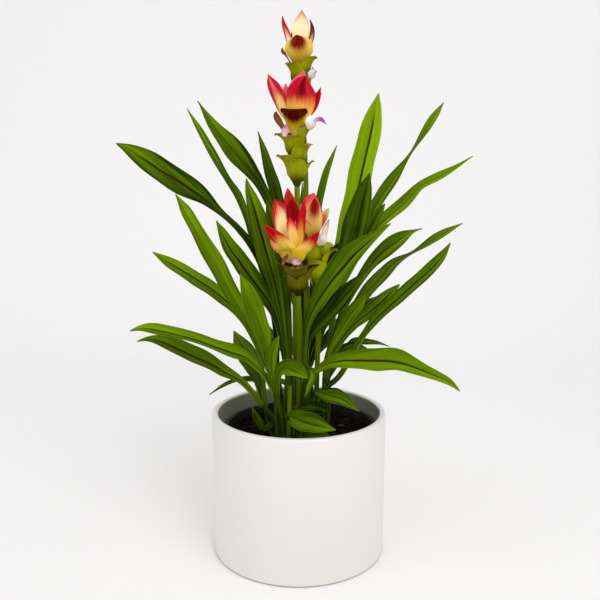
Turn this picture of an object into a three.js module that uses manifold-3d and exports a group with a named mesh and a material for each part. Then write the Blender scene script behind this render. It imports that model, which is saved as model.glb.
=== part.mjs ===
// Potted Siam tulip (Curcuma alismatifolia): a white straight-sided cover pot, a black grow pot
// standing in it, soil, leafy shoots and four flower spikes. Millimetres, +Z up, origin on the
// surface that the pot stands on, at the middle of its foot. The front of the plant faces -Y.
import * as THREE from 'three';
import { mergeVertices } from 'three/addons/utils/BufferGeometryUtils.js';
import Module from 'manifold-3d';

const wasm = await Module();
wasm.setup();

// Driving dimensions
const coverPot = { radius: 100, footRadius: 99.3, height: 164.5, wall: 7.4, floor: 9, lip: 3.2, sides: 36 };
const growPot = {
  x: 2, y: 2, rim: 86, foot: 70, bottom: 9.3, top: 147, wall: 1.6, bead: 2.2, beadDepth: 8, sides: 24,
};
const soil = { bottom: 11.3, top: 137, lump: 1.8, gap: 0.4, rings: 4, sides: 24 };
const socket = { depth: 16, gap: 0.4 };
const stemSides = { shoot: 8, scape: 6 };
const blade = { thickness: 0.9, petiole: 5, petioleDepth: 3, tip: 0.6, leastSeen: 0.42 };
const bract = { wall: 1, tip: 1, wide: 21, core: 8.5, scape: 3 };
const thinning = {
  leaf: { slack: 2.2, weights: [1, 1, 1, 0.15, 1] },
  petal: { slack: 1, weights: [1, 1, 1, 0.5] },
};
const pouchShape = {
  cup: 13, footLean: 24, topLean: 0.45, spread: [0.45, 1, 0.94, 0.4], walls: [4, 6, 3, 1],
};
const heart = { seat: 0.4, radii: [4, 4.6, 3] };

// The plant is laid out as it is seen from one point in front of it: across and up on a board
// that faces the eye and crosses the pot's axis, and how far behind that axis a point lies.
const eye = new THREE.Vector3(0, -807, 427);
const lookDown = THREE.MathUtils.degToRad(9.43);
const boardAway = 818;
const ahead = new THREE.Vector3(0, Math.cos(lookDown), -Math.sin(lookDown));
const boardUp = new THREE.Vector3(0, Math.sin(lookDown), Math.cos(lookDown));

function seen(across, up, behind) {
  const ray = ahead.clone().multiplyScalar(boardAway).addScaledVector(boardUp, up);
  ray.x += across;
  return ray.multiplyScalar((behind - eye.y) / ray.y).add(eye);
}

// Shoots. foot is [x, y] in the soil, neck is [across, up, behind] and girth the radii at both.
// A leaf is [start, fold, ...path]: start is where it leaves the shoot, fold lifts the two halves
// of the blade (degrees), and a path point is [across, up, behind, turn, width], with turn rolling
// the blade's face upward and the width as it is seen from the front.
const shoots = {
  shoot_outer_left: {
    foot: [-25, -14], neck: [-40, -118, -17], girth: [3.4, 2.6],
    leaves: [
      [0.92, 20, [-44, -114, -22, 20, 5], [-56, -98, -31, 35, 5],
      [-66, -89, -37, 45, 6.5], [-80, -81, -43, 50, 11], [-94, -72, -48, 50, 16],
      [-110, -64, -54, 48, 18], [-130, -55.5, -60, 46, 17], [-148, -47.5, -66, 45, 14],
      [-162, -43.5, -69, 43, 9], [-173, -43.5, -71, 40, 4], [-183, -46.5, -72, 40, 0]],
      [0.9, 20, [-44, -98, -4, 40, 4.5], [-49, -88, 6, 55, 4.5], [-58, -87, 10, 60, 5],
      [-70, -89.5, 13, 60, 4.5], [-84, -95, 15, 60, 4], [-102, -107, 16, 50, 0]],
      [0.3, 20, [-38, -146, -20, 0, 6], [-44, -140, -24, 10, 9], [-48, -132, -27, 20, 8],
      [-52.5, -120.5, -30, 20, 0]],
      [0.9, -18, [-41, -98, -6, 0, 8], [-46, -84, -4, 0, 18], [-54, -68, 0, 10, 24],
      [-63, -54, 4, 15, 22], [-69, -43, 7, 20, 12], [-73.5, -34.5, 8, 20, 0]],
    ],
  },
  shoot_front_left: {
    foot: [-17, -30], neck: [-26, -104, -40], girth: [3.4, 2.6],
    leaves: [
      [0.9, 20, [-33, -91, -42, 20, 5], [-41, -80, -46, 30, 5.5],
      [-51, -70, -50, 45, 7], [-61, -62, -54, 52, 10], [-72, -57, -60, 58, 13.5],
      [-98, -48.5, -69, 58, 12], [-120, -41, -75, 56, 11], [-148, -34.5, -82, 52, 10.5],
      [-162, -31.5, -85, 50, 11.5], [-174, -30.5, -88, 45, 8], [-184, -32, -89, 42, 3.5],
      [-191, -35, -90, 40, 0]],
      [0.85, 20, [-29, -90, -52, 0, 7], [-31, -76, -55, 5, 10], [-31, -62, -59, 15, 12.5],
      [-27, -50, -62, 25, 8], [-22.5, -40, -66, 30, 0]],
      [0.96, 20, [-34, -76, -48, 0, 5], [-37, -60, -54, 5, 7], [-38, -46, -60, 10, 13],
      [-42, -32, -66, 15, 18], [-48, -16, -73, 20, 20], [-54, 0, -82, 25, 18], [-60, 14, -90, 30, 12],
      [-66, 29, -98, 35, 0]],
      [0.9, 25, [-24, -88, -54, 0, 5], [-22, -80, -60, 10, 12], [-15, -75.5, -68, 25, 17],
      [-5, -77.5, -78, 35, 17], [4, -83, -87, 35, 9], [10, -88, -92, 35, 0]],
    ],
  },
  shoot_left: {
    foot: [-10, -12], neck: [-14, -72, -14], girth: [3.4, 2.6],
    leaves: [
      [0.96, 16, [-15, -50, -16, 0, 5], [-18.5, -22, -18, 8, 8], [-23, 5, -18, 14, 13],
      [-30, 34, -17, 20, 19.5], [-38, 64, -15, 26, 24], [-46, 92, -17, 30, 20.5],
      [-53, 115, -21, 32, 13], [-57, 127, -24, 33, 7], [-59, 137.5, -26, 34, 0]],
      [0.9, 18, [-19, -50, -8, 0, 5], [-23, -26, 0, 8, 7], [-30, -8, 2, 14, 13],
      [-40, 8, 2, 18, 20], [-52, 24, 2, 22, 20.5], [-65, 43, -3, 25, 19.5], [-77, 59, -10, 27, 16.5],
      [-86, 76, -17, 29, 10], [-93, 90, -22, 30, 0]],
      [0.7, 16, [-29, -86, -20, 0, 5], [-42, -60, -26, 8, 6.5], [-53, -34, -31, 16, 10],
      [-64, -12, -36, 20, 14.5], [-76, 9, -40, 22, 17], [-97, 48, -49, 25, 17.5],
      [-107, 66, -53, 27, 15.5], [-117, 83, -57, 28, 13], [-128, 102, -61, 29, 11],
      [-139, 120, -64, 30, 0]],
    ],
  },
  shoot_back_left: {
    foot: [-22, 12], neck: [-25, -70, 14], girth: [3.4, 2.6],
    leaves: [
      [0.9, 14, [-27, -30, 14, 0, 5], [-36, 20, 16, 15, 6], [-45, 48, 16, 30, 7.5],
      [-57, 69, 16, 45, 8], [-70, 83, 16, 55, 7.5], [-82, 94, 14, 45, 6.5], [-92, 103, 13, 35, 8.5],
      [-106, 115.5, 11, 25, 16], [-120, 125, 8, 22, 23], [-136, 135, 4, 20, 26.5],
      [-154, 146, -1, 20, 25.5], [-170, 157, -6, 22, 23.5], [-186, 167, -11, 25, 16],
      [-197, 173, -14, 25, 8], [-206.5, 177, -16, 25, 0]],
      [0.7, 18, [-34, -73, 8, 0, 5], [-48, -46, 4, 12, 6], [-63, -20, 0, 20, 9],
      [-80, -2, -4, 20, 13.5], [-97, 12, -8, 20, 15.5], [-115, 24, -12, 20, 15.5],
      [-133, 35, -15, 20, 14], [-150, 45, -18, 20, 10.5], [-165, 54.5, -20, 20, 0]],
      [0.96, 20, [-26, -20, 26, 0, 5], [-37, 20, 32, 20, 5.5], [-46, 55, 37, 40, 6.5],
      [-55, 84, 43, 50, 8], [-69, 120, 51, 55, 9], [-77, 131.5, 55, 55, 7], [-84, 143, 58, 55, 7],
      [-94, 162, 63, 58, 9.5], [-104, 179, 68, 60, 8.5], [-113, 195, 73, 60, 6.5],
      [-126, 216.5, 80, 60, 0]],
    ],
  },
  shoot_rear_left: {
    foot: [-8, 34], neck: [-10, -66, 40], girth: [3.4, 2.6],
    leaves: [
      [0.9, 16, [-11, -20, 46, 0, 5], [-15, 30, 56, 6, 7], [-21, 75, 66, 13, 9],
      [-31, 107, 78, 20, 11], [-43, 130, 86, 23, 13], [-53, 144, 92, 25, 17.5],
      [-63, 157.5, 98, 27, 23.5], [-73, 170, 104, 28, 25.5], [-82, 181, 109, 29, 21.5],
      [-92, 192.5, 115, 30, 15.5], [-101, 204.5, 121, 30, 10], [-114, 225, 128, 30, 0]],
      [0.96, 16, [-11, -20, 54, 0, 5], [-13, 40, 72, 12, 8], [-18, 85, 92, 24, 12.5],
      [-24, 115, 104, 30, 15], [-30, 137, 114, 33, 15], [-36, 158, 123, 35, 11.5],
      [-41, 175, 130, 35, 6.5], [-46, 191, 136, 35, 0]],
      [0.8, 16, [-14, -20, 36, 0, 5], [-21, 50, 34, 20, 12], [-28, 82, 29, 28, 15],
      [-33, 100, 25, 30, 9], [-36, 114, 22, 30, 0]],
    ],
  },
  shoot_front: {
    foot: [1, -37], neck: [-4, -120, -40], girth: [3.2, 2.5],
    leaves: [
      [0.5, 14, [-13, -132, -58, 10, 6], [-7, -131, -66, 25, 15], [4, -135, -76, 36, 22],
      [16, -139, -83, 36, 20], [29, -143, -86, 33, 12], [42, -146.5, -87, 30, 0]],
      [0.2, 14, [4, -154, -46, 30, 8], [14, -151, -56, 42, 13], [24, -150.5, -66, 45, 11],
      [34, -152, -74, 45, 0]],
      [0.9, 14, [6, -120, -30, 30, 5], [18, -119, -28, 40, 9], [32, -126, -30, 40, 0]],
    ],
  },
  shoot_middle: {
    foot: [13, -16], neck: [6, -80, -18], girth: [3.4, 2.6],
    leaves: [
      [0.9, 20, [6, -56, -30, 0, 5], [9, -30, -39, 10, 8], [17, -8, -50, 22, 15],
      [27, 11, -60, 32, 20], [37, 26, -67, 38, 23], [47, 38, -73, 41, 24], [58, 51, -80, 43, 21.5],
      [70, 61, -86, 44, 15.5], [83, 71, -92, 44, 9], [95, 80.5, -96, 44, 4.5], [104, 87, -98, 44, 0]],
      [0.9, 18, [9, -50, -14, 0, 5], [14, -38, -17, 12, 9], [25, -22, -21, 26, 17],
      [38, -8, -24, 36, 19.5], [50, 5, -27, 38, 18], [61, 16, -30, 38, 14], [70, 26, -31, 38, 7],
      [77, 33, -32, 38, 0]],
      [0.8, 16, [12, -84, -30, 10, 6], [24, -76, -40, 28, 8], [36, -70, -49, 38, 12],
      [50, -66.5, -57, 44, 17], [66, -66, -65, 45, 21], [98, -66, -79, 42, 24],
      [114, -68.5, -85, 41, 21.5], [130, -74, -90, 39, 17], [146, -81, -95, 38, 12],
      [160, -87, -99, 38, 9], [172, -93, -102, 38, 6.5], [182, -103, -104, 38, 0]],
      [0.96, 14, [13, -78, -30, 0, 5], [17, -86, -38, 10, 8], [12, -98, -42, 10, 6],
      [7, -110, -44, 10, 0]],
    ],
  },
  shoot_right: {
    foot: [26, -8], neck: [29, -92, -6], girth: [3.4, 2.6],
    leaves: [
      [0.85, 20, [44, -88, -6, 0, 5], [56, -68, -6, 20, 5], [66, -48, -8, 30, 5.5],
      [75, -35, -9, 32, 6.5], [85, -22, -12, 34, 10], [97, -10, -15, 35, 13], [110, 2, -18, 35, 14],
      [138, 26.5, -24, 35, 13], [151, 38.5, -27, 35, 12.5], [162, 51, -30, 35, 9],
      [171, 65, -32, 35, 0]],
      [0.9, 20, [35, -68, -2, 0, 5], [47, -46, 2, 18, 7], [59, -30, 2, 22, 11],
      [71, -19.5, 2, 25, 14], [84, -9, 1, 28, 15], [96, 2, 0, 30, 14], [106, 11, -1, 30, 9],
      [114, 18, -2, 30, 0]],
      [0.96, 18, [33, -60, -10, 0, 5], [42, -43, -11, 12, 8], [50, -28, -12, 20, 12],
      [60, -13, -14, 25, 14], [69, -2, -15, 28, 12], [75.5, 7, -16, 30, 0]],
      [0.7, 16, [21, -108, -22, 0, 5], [16, -102, -30, 20, 5], [24, -104, -38, 32, 10],
      [36, -106.5, -45, 38, 17], [48, -110, -50, 36, 15], [58, -117, -50, 32, 9],
      [69, -126, -48, 30, 0]],
      [0.9, 16, [40, -72, 6, 0, 5], [44, -62, 8, 20, 10], [54, -54, 10, 35, 13],
      [66, -52, 12, 45, 10], [80, -56, 14, 50, 0]],
    ],
  },
  shoot_rear: {
    foot: [9, 22], neck: [13, -70, 28], girth: [3.4, 2.6],
    leaves: [
      [0.96, 14, [24, -34, 36, 0, 5], [33, 5, 49, 9, 8], [45, 50, 66, 16, 16],
      [55, 85, 80, 22, 23], [63, 115, 93, 27, 27.5], [70, 145, 106, 30, 29], [76, 172, 116, 33, 29],
      [80.5, 193, 124, 34, 27], [84, 209, 130, 35, 20.5], [87.5, 223, 135, 35, 10.5],
      [90, 234, 138, 35, 0]],
      [0.94, 16, [27, -34, 26, 0, 5], [36, 0, 26, 10, 9], [47, 35, 25, 20, 18],
      [56, 61, 23, 26, 25], [62, 80, 21, 30, 28.5], [67, 98, 19, 32, 27], [71.5, 115, 17, 34, 21.5],
      [76, 130, 14, 35, 13.5], [80, 143.5, 12, 35, 0]],
      [0.96, 16, [17, -40, 34, 0, 5], [23, 0, 39, 14, 10], [29, 30, 43, 22, 20],
      [40, 50, 44, 28, 22], [50, 61, 44, 30, 12], [56, 68, 44, 30, 0]],
      [0.96, 16, [15, -30, 40, 0, 4.5], [15, 30, 60, 18, 6], [20, 90, 82, 28, 8],
      [24, 118, 92, 35, 9.5], [30, 143, 100, 38, 8.5], [37, 161, 107, 40, 5], [43, 175, 112, 40, 0]],
      [0.92, 16, [30, -20, 38, 0, 5], [46, 25, 38, 15, 6], [64, 57, 38, 24, 9],
      [78, 78, 38, 30, 13], [87, 94, 37, 30, 12.5], [93, 103, 36, 30, 7], [97, 109, 36, 30, 0]],
    ],
  },
  shoot_outer_right: {
    foot: [30, 26], neck: [33, -70, 34], girth: [3.4, 2.6],
    leaves: [
      [0.96, 20, [44, 6, 44, 0, 5], [56, 32, 48, 12, 6.5], [70, 57, 51, 22, 9],
      [83, 76, 54, 29, 11], [94, 89, 56, 33, 13], [116, 108.5, 57, 38, 15.5], [126, 119, 57, 41, 13],
      [136, 129, 58, 44, 9.5], [158, 140.5, 58, 47, 9.5], [178, 151, 58, 50, 4.5],
      [188, 157.5, 58, 50, 2], [197, 163, 58, 50, 0]],
      [0.96, 20, [42, 6, 58, 0, 5], [58, 45, 72, 14, 6.5], [74, 82, 86, 24, 9.5],
      [86, 107, 96, 31, 13.5], [96, 124, 103, 34, 14.5], [106, 137.5, 108, 38, 13],
      [115, 150, 114, 50, 8], [122, 160, 119, 60, 4], [127, 167.5, 122, 65, 2.4],
      [134, 178, 126, 60, 5], [142, 191, 132, 50, 9], [149, 202.5, 136, 40, 10],
      [156, 212.5, 140, 34, 7.5], [163.5, 223.5, 144, 30, 0]],
      [0.9, 16, [46, -20, 34, 0, 5], [57, 3, 33, 11, 7.5], [67, 21, 32, 19, 10],
      [78, 37, 32, 23, 12.5], [89, 50, 31, 27, 16.5], [101, 60.5, 30, 30, 18.5],
      [112, 68, 29, 30, 17], [121, 74, 28, 30, 11.5], [127.5, 77.5, 28, 30, 4],
      [134, 79.5, 28, 30, 1.5], [140, 81, 28, 30, 0]],
      [0.85, 18, [50, -30, 24, 0, 5], [60, -12, 23, 12, 9], [72, 4, 22, 20, 13],
      [84, 18, 22, 24, 15], [95, 30, 22, 27, 15], [106, 41.5, 22, 30, 11.5], [117, 48.5, 23, 50, 6],
      [127, 53.5, 24, 65, 2.4], [140, 61.5, 24, 55, 6], [154, 70.5, 24, 35, 9],
      [168, 78.5, 24, 30, 7], [185, 87, 24, 30, 0]],
      [0.7, -18, [52, -58, 40, 30, 6], [60, -48, 46, 40, 9], [68, -45.5, 51, 50, 10],
      [78, -46.5, 56, 58, 7], [90, -48, 60, 60, 4], [103, -52.5, 66, 60, 0]],
    ],
  },
  shoot_back: {
    foot: [0, 58], neck: [2, -76, 66], girth: [3.6, 2.8],
    leaves: [
      [0.9, 16, [-8, -50, 78, 0, 6], [-20, -20, 104, 20, 20], [-30, 20, 136, 30, 22],
      [-34, 44, 172, 30, 0]],
      [0.96, 16, [3, -40, 84, 0, 6], [2, 0, 114, 10, 24], [-2, 30, 150, 10, 22],
      [-5, 44, 190, 10, 0]],
      [0.9, 16, [4, -30, 72, 0, 5], [4, 50, 84, 0, 8], [4, 100, 94, 0, 10],
      [4, 133, 98, 0, 0]],
      [0.9, 16, [16, -50, 78, 0, 6], [32, -14, 102, 20, 20], [44, 18, 134, 30, 20],
      [54, 40, 170, 30, 0]],
      [0.8, 16, [-14, -60, 76, 0, 6], [-38, -36, 90, 20, 18], [-60, -16, 112, 35, 18],
      [-84, -4, 140, 35, 0]],
      [0.8, 16, [20, -60, 76, 0, 6], [42, -34, 90, 20, 18], [66, -10, 110, 35, 18],
      [92, 6, 134, 35, 0]],
    ],
  },
};

// Flower spikes. behind is the depth of the head's axis. stem, cone and core points are
// [across, up, behind]. A pouch is [azimuth, height, length, width, lean, lean of its tip] on the
// cone, with azimuth 0 to the right and -90 to the front. A petal is [cup, facing, ...path]: cup is
// the radius that it bends to, facing 0 turns its inner side to the front and 90 to the right, and
// its path points are [across, up, depth past the axis, width] from the root to the tip.
const spikes = {
  top: {
    foot: [8, 41], behind: 46,
    stem: [[9, -40, 42], [8, 60, 43], [8, 130, 45], [6, 180, 46]],
    cone: [[4, 212, 46], [2, 258, 46]], core: [2, 278, 46],
    pouches: [
      [215, 32, 25, 30, 12, 54], [-30, 36, 27, 26, 14, 52], [-38, 22, 26, 26, 12, 62],
      [-95, 12, 26, 28, 10, 30], [0, -2, 28, 26, 12, 70], [95, 26, 26, 28, 12, 60],
      [140, 6, 26, 28, 12, 62], [240, 2, 26, 28, 12, 50],
    ],
    petals: [
      [17, 0, [3, 268, 4, 8], [2.5, 286, 9, 17], [2.5, 303, 12, 20.5],
      [2.8, 312, 12, 18], [3.2, 320, 11, 10.5], [3.3, 327.4, 10, 0]],
      [10, 55, [-1, 266, 1, 6], [-10, 286, 3, 11], [-15, 302, 3.5, 12],
      [-18, 313, 3.5, 7.5], [-18.7, 321, 3, 0]],
      [10, -60, [4, 266, 1, 6], [12, 284, 3, 11], [16, 298, 3.5, 11],
      [15.5, 308, 3.5, 7], [12.8, 317, 3, 0]],
      [17, 180, [-1, 262, -5, 9], [0, 270, -8.5, 20], [0.3, 278, -11, 30.5],
      [0, 286, -12, 35], [-1.5, 293, -12, 27], [-2.3, 297.5, -12, 15], [-2.6, 299.5, -12, 0]],
      [14, 15, [0, 268, 4, 8], [-4, 290, 13, 16], [-3, 302, 17, 10], [-2, 309, 19, 0]],
      [14, -15, [4, 268, 4, 8], [9, 288, 13, 15], [9, 298, 17, 9], [8, 304, 18, 0]],
    ],
  },
  upper: {
    foot: [-3, 6], behind: 0,
    stem: [[-4, -40, 4], [-4, 40, 2], [-2, 105, 0]],
    cone: [[-2, 132, 0], [-4, 184, 0]], core: [-4, 206, 0],
    pouches: [
      [-18, 36, 28, 28, 12, 60], [188, 30, 29, 28, 12, 66], [-108, 28, 25, 30, 10, 44],
      [-45, 16, 30, 30, 10, 66], [205, 6, 30, 30, 14, 62], [-90, 1, 27, 28, 16, 26],
      [10, 1, 26, 24, 16, 42], [85, 33, 27, 30, 12, 62], [90, 7, 27, 30, 14, 66],
    ],
    petals: [
      [14, 150, [-7, 198, 0, 8], [-17, 214, 3, 14], [-23, 227, 4, 17],
      [-28, 238, 5, 16], [-32, 247, 5, 10], [-34.8, 254.8, 4, 0]],
      [19, 180, [-2, 194, -3, 12], [0, 210, -9, 27], [2, 223, -12, 32],
      [2.8, 236, -13, 31], [4.5, 245, -13, 20], [7, 250.5, -12.5, 9], [8.4, 253, -12, 0]],
      [18, 0, [-3, 200, 4, 10], [-3, 222, 11, 24], [0, 238, 13, 23],
      [3, 249, 12.5, 15], [5.5, 259, 11, 0]],
      [14, 15, [-5, 202, 3, 8], [-12, 224, 9, 15], [-14.5, 236, 11, 10], [-15, 244.5, 11, 0]],
      [12, -150, [-1, 198, 1, 8], [10, 211, 2, 12], [17, 221, 2, 13], [22, 231, 2, 8],
      [25, 240, 1, 0]],
      [19, 180, [-5.5, 187, -4, 9], [-5.5, 195, -6, 14], [-5.5, 203, -9, 21],
      [-5.3, 210, -13, 28], [-5.2, 214, -13.5, 32], [-5.2, 215.5, -14, 29]],
      [16, 0, [0, 200, 4, 8], [5, 223, 14, 20], [6, 235, 17, 14], [6, 243, 18, 0]],
    ],
  },
  front: {
    foot: [-1, -14], behind: -34,
    stem: [[1, -60, -14], [1, -34, -20], [0, -12, -29]],
    cone: [[-1, 9, -34], [-2, 42, -34]], core: [-2, 62, -34],
    pouches: [
      [-95, 10, 25, 33, 20, 66], [170, 12, 27, 24, 22, 50], [8, 7, 28, 26, 24, 58],
      [90, 12, 26, 30, 14, 56], [60, 2, 24, 28, 14, 36],
      [-146, 0, 21, 23, 14, 14], [-38, 0, 23, 24, 16, 20],
    ],
    petals: [
      [16, 150, [-4, 48, -5, 12], [-13, 59, -12, 16], [-22, 67.5, -17, 15.5],
      [-31, 76, -20, 11], [-36, 81, -21, 6], [-39.5, 84.5, -21, 0]],
      [16, -150, [-1, 47, -5, 12], [6, 56, -11, 16], [13, 64, -14, 14],
      [18.5, 71, -15, 9], [23.5, 77.5, -15, 0]],
      [15, 180, [-3, 42, -6, 10], [-2, 47, -9, 17], [-1, 53, -11, 18],
      [0, 57.5, -12, 11], [0.5, 60.5, -12, 0]],
      [18, 25, [-4, 54, 2, 8], [-11, 68, 7, 18], [-15.5, 80, 10, 25],
      [-18.5, 91, 12, 26], [-22, 101, 12, 19], [-25, 108.5, 11, 10], [-27, 113.5, 10, 0]],
      [14, 0, [-3, 56, 4, 8], [-5, 80, 14, 16], [-8, 98, 18, 17], [-10.5, 112, 19, 13],
      [-12, 121, 18.5, 7], [-12.5, 126.5, 18, 0]],
      [12, 0, [-3, 56, 1, 8], [-4, 80, 11, 13], [-6.5, 97, 14, 15], [-7.5, 106, 14.5, 12],
      [-8, 114, 14.5, 0]],
      [9, 20, [-4, 54, -3, 6], [-6, 68, -5, 10], [-8.5, 80, -6, 11.5],
      [-10, 88, -6, 9], [-10.5, 93.5, -6, 0]],
      [12, -25, [0, 54, 0, 6], [1.5, 66, 3, 9], [2.5, 78, 5, 11], [3.4, 90, 6, 10.5],
      [5.2, 101, 6, 7.5], [6.5, 115, 6, 0]],
      [15, 150, [-5, 45, -2, 10], [-14, 53, -8, 15], [-23, 60, -12, 14], [-29, 66, -13, 9],
      [-32, 71, -13, 0]],
      [14, 165, [-5, 42.5, -6.5, 9], [-13, 48.5, -12, 12], [-15.5, 53, -14, 15],
      [-15.7, 55, -14.5, 15]],
    ],
  },
  rear: {
    foot: [20, 9], behind: 26,
    stem: [[22, -40, 16], [24, -4, 24]],
    cone: [[23, 16, 26], [19, 66, 26]], core: [17, 88, 26],
    pouches: [
      [-8, 18, 30, 26, 16, 66], [-66, 26, 29, 30, 12, 36], [-100, 4, 30, 30, 10, 30],
      [180, 22, 26, 26, 12, 60], [95, 28, 26, 28, 12, 56], [60, 2, 26, 28, 12, 50],
      [160, -2, 26, 26, 12, 30],
    ],
    petals: [
      [15, 10, [17, 76, 4, 8], [14.5, 92, 11, 20], [13.5, 104, 13, 23],
      [14, 112, 13, 18], [16, 118, 13, 9], [17.5, 121, 12, 0]],
      [13, 175, [17, 70, -5, 10], [17, 81, -9, 17], [17, 92, -11, 19],
      [17.5, 103, -12, 14], [18, 110, -12, 8], [18, 115, -12, 0]],
      [12, -145, [19, 74, -1, 8], [24, 85, -3, 13], [28, 93, -4, 13], [32, 100, -4, 7],
      [34.5, 103.5, -4, 0]],
      [12, 170, [17, 70, -4, 8], [13, 77, -8, 12], [10, 84, -9, 9], [8, 91, -9, 0]],
      [14, 0, [18, 76, 3, 8], [19, 91, 14, 18], [20, 102, 18, 13], [19, 110, 20, 0]],
      [12, 30, [16, 76, 2, 6], [8, 93, 5, 13], [4, 102, 6, 8], [2, 109, 5, 0]],
    ],
  },
};

// True flowers, small and pale, each cupped in a pouch: petals as above, with their own depth.
const flowers = {
  flower_top: [
    [6, 180, [13, 250, 32.2, 5], [14, 254, 29.6, 9], [15, 258, 28.1, 8], [16, 263, 27.6, 0]],
    [5, 170, [14, 250.2, 32.2, 4], [16, 254, 28.6, 7], [19, 257, 24.6, 0]],
  ],
  flower_upper_right: [
    [7, 180, [12, 192, -13.5, 6], [13, 199, -16.9, 12], [13, 205, -16.9, 9], [13, 209, -16.9, 0]],
    [7, -150, [13, 192, -13.9, 6], [16, 198, -16.9, 10], [19.5, 205, -17.9, 0]],
    [5, 180, [15, 198, -16.9, 3], [19, 203, -19.9, 4], [25, 204, -21.9, 5], [31, 198, -22.9, 0]],
  ],
  flower_upper_left: [
    [5, 160, [-17, 184.2, -14.6, 5], [-16.5, 190, -17.3, 9], [-15, 195, -17.5, 7],
    [-14, 199, -17.5, 0]],
  ],
  flower_front: [
    [6, 180, [-2.8, 39.8, -53.2, 4.6], [-4.6, 43, -55.4, 7.5], [-8.6, 47, -56.4, 0]],
    [6, 170, [-2.6, 39.8, -53.2, 4.6], [-1.4, 43, -55.8, 7.5], [0.4, 46.5, -56.8, 0]],
  ],
  flower_rear: [
    [8, 180, [25, 61.2, 7.4, 6], [24, 67, 5.4, 12], [22.5, 72, 5.4, 8],
    [22, 76, 5.4, 0]],
    [8, -170, [26, 61.2, 7.4, 5], [28, 67, 4.4, 9], [28, 75, 4.4, 0]],
    [5, -160, [27, 62.2, 7.4, 4], [28.5, 70, 6.6, 8], [31, 82, 6.6, 7], [34.5, 92, 8.6, 0]],
  ],
};

const cutStub = { foot: [-11, -43], top: [-10, -97, -43], girth: [2.6, 2.2] };

function solidFrom(vertices, triangles) {
  const mesh = new wasm.Mesh({
    numProp: 3,
    vertProperties: Float32Array.from(vertices.flatMap((v) => v.toArray())),
    triVerts: Uint32Array.from(triangles.flat()),
  });
  mesh.merge();
  return new wasm.Manifold(mesh);
}

function solidOf(geometry) {
  const bare = geometry.clone();
  bare.deleteAttribute('normal');
  bare.deleteAttribute('uv');
  const merged = mergeVertices(bare, 1e-4);
  return new wasm.Manifold(new wasm.Mesh({
    numProp: 3,
    vertProperties: merged.attributes.position.array,
    triVerts: new Uint32Array(merged.index.array),
  }));
}

function loft(rings) {
  // Closes a stack of equal rings into one body. Each ring turns left about the way they go.
  const count = rings[0].length;
  const triangles = [];
  for (let i = 0; i < rings.length - 1; i++) {
    for (let a = 0; a < count; a++) {
      const b = (a + 1) % count;
      const [p, q, r, s] = [i * count + a, i * count + b, (i + 1) * count + b, (i + 1) * count + a];
      triangles.push([p, q, r], [p, r, s]);
    }
  }
  const last = (rings.length - 1) * count;
  for (let a = 1; a < count - 1; a++) {
    triangles.push([0, a + 1, a], [last, last + a, last + a + 1]);
  }
  return solidFrom(rings.flat(), triangles);
}

function tube(points, radii, steps, sides) {
  const curve = new THREE.CatmullRomCurve3(points, false, 'centripetal');
  const frames = curve.computeFrenetFrames(steps, false);
  const rings = [];
  for (let i = 0; i <= steps; i++) {
    const centre = curve.getPointAt(i / steps);
    const radius = along(radii, curve.getUtoTmapping(i / steps) * (radii.length - 1));
    rings.push(Array.from({ length: sides }, (_, k) => centre.clone()
      .addScaledVector(frames.normals[i], radius * Math.cos((2 * Math.PI * k) / sides))
      .addScaledVector(frames.binormals[i], radius * Math.sin((2 * Math.PI * k) / sides))));
  }
  return loft(rings);
}

function along(list, place) {
  const i = Math.min(Math.floor(place), list.length - 2);
  return THREE.MathUtils.lerp(list[i], list[i + 1], place - i);
}

// A thin sheet with the same grid on both faces. A row is the outer face from left to right,
// and under holds the inner face in the same order.
function sheet(rows, under) {
  const wide = rows[0].length;
  const vertices = rows.flatMap((row, i) => [...row, ...under[i].slice().reverse()]);
  const triangles = [];
  const ring = 2 * wide;
  const middle = (wide - 1) / 2;
  for (let i = 0; i < rows.length - 1; i++) {
    const [a, b] = [i * ring, (i + 1) * ring];
    for (let k = 0; k < wide - 1; k++) {
      const [m, n] = [ring - 1 - k, ring - 2 - k];
      if (k < middle) {
        triangles.push([a + k, a + k + 1, b + k + 1], [a + k, b + k + 1, b + k]);
        triangles.push([a + m, b + n, a + n], [a + m, b + m, b + n]);
      } else {
        triangles.push([a + k, a + k + 1, b + k], [a + k + 1, b + k + 1, b + k]);
        triangles.push([a + m, b + m, a + n], [a + n, b + m, b + n]);
      }
    }
    triangles.push([a + wide - 1, a + wide, b + wide], [a + wide - 1, b + wide, b + wide - 1]);
    triangles.push([a + ring - 1, a, b], [a + ring - 1, b, b + ring - 1]);
  }
  const end = (rows.length - 1) * ring;
  for (let k = 0; k < wide - 1; k++) {
    const [m, n] = [ring - 1 - k, ring - 2 - k];
    triangles.push([k, m, k + 1], [m, n, k + 1]);
    triangles.push([end + k, end + k + 1, end + m], [end + m, end + k + 1, end + n]);
  }
  return solidFrom(vertices, triangles);
}

// The points of a path without those that a straight run between their neighbours nearly meets:
// slack is how far they may stray, and weights says how much each of their numbers counts.
function thinned(path, { slack, weights }) {
  return path.reduce((kept, here, i) => {
    const [before, after] = [path[i - 1], path[i + 1]];
    if (!before || !after || kept.at(-1) !== before) {
      return [...kept, here];
    }
    const spread = (a, b) => Math.hypot(a[0] - b[0], a[1] - b[1], a[2] - b[2]);
    const share = spread(before, here) / (spread(before, here) + spread(here, after));
    const strays = here.map((value, k) => Math.abs(value - before[k] - share * (after[k] - before[k])));
    return Math.max(...strays.map((stray, k) => stray * weights[k])) < slack ? kept : [...kept, here];
  }, []);
}

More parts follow.
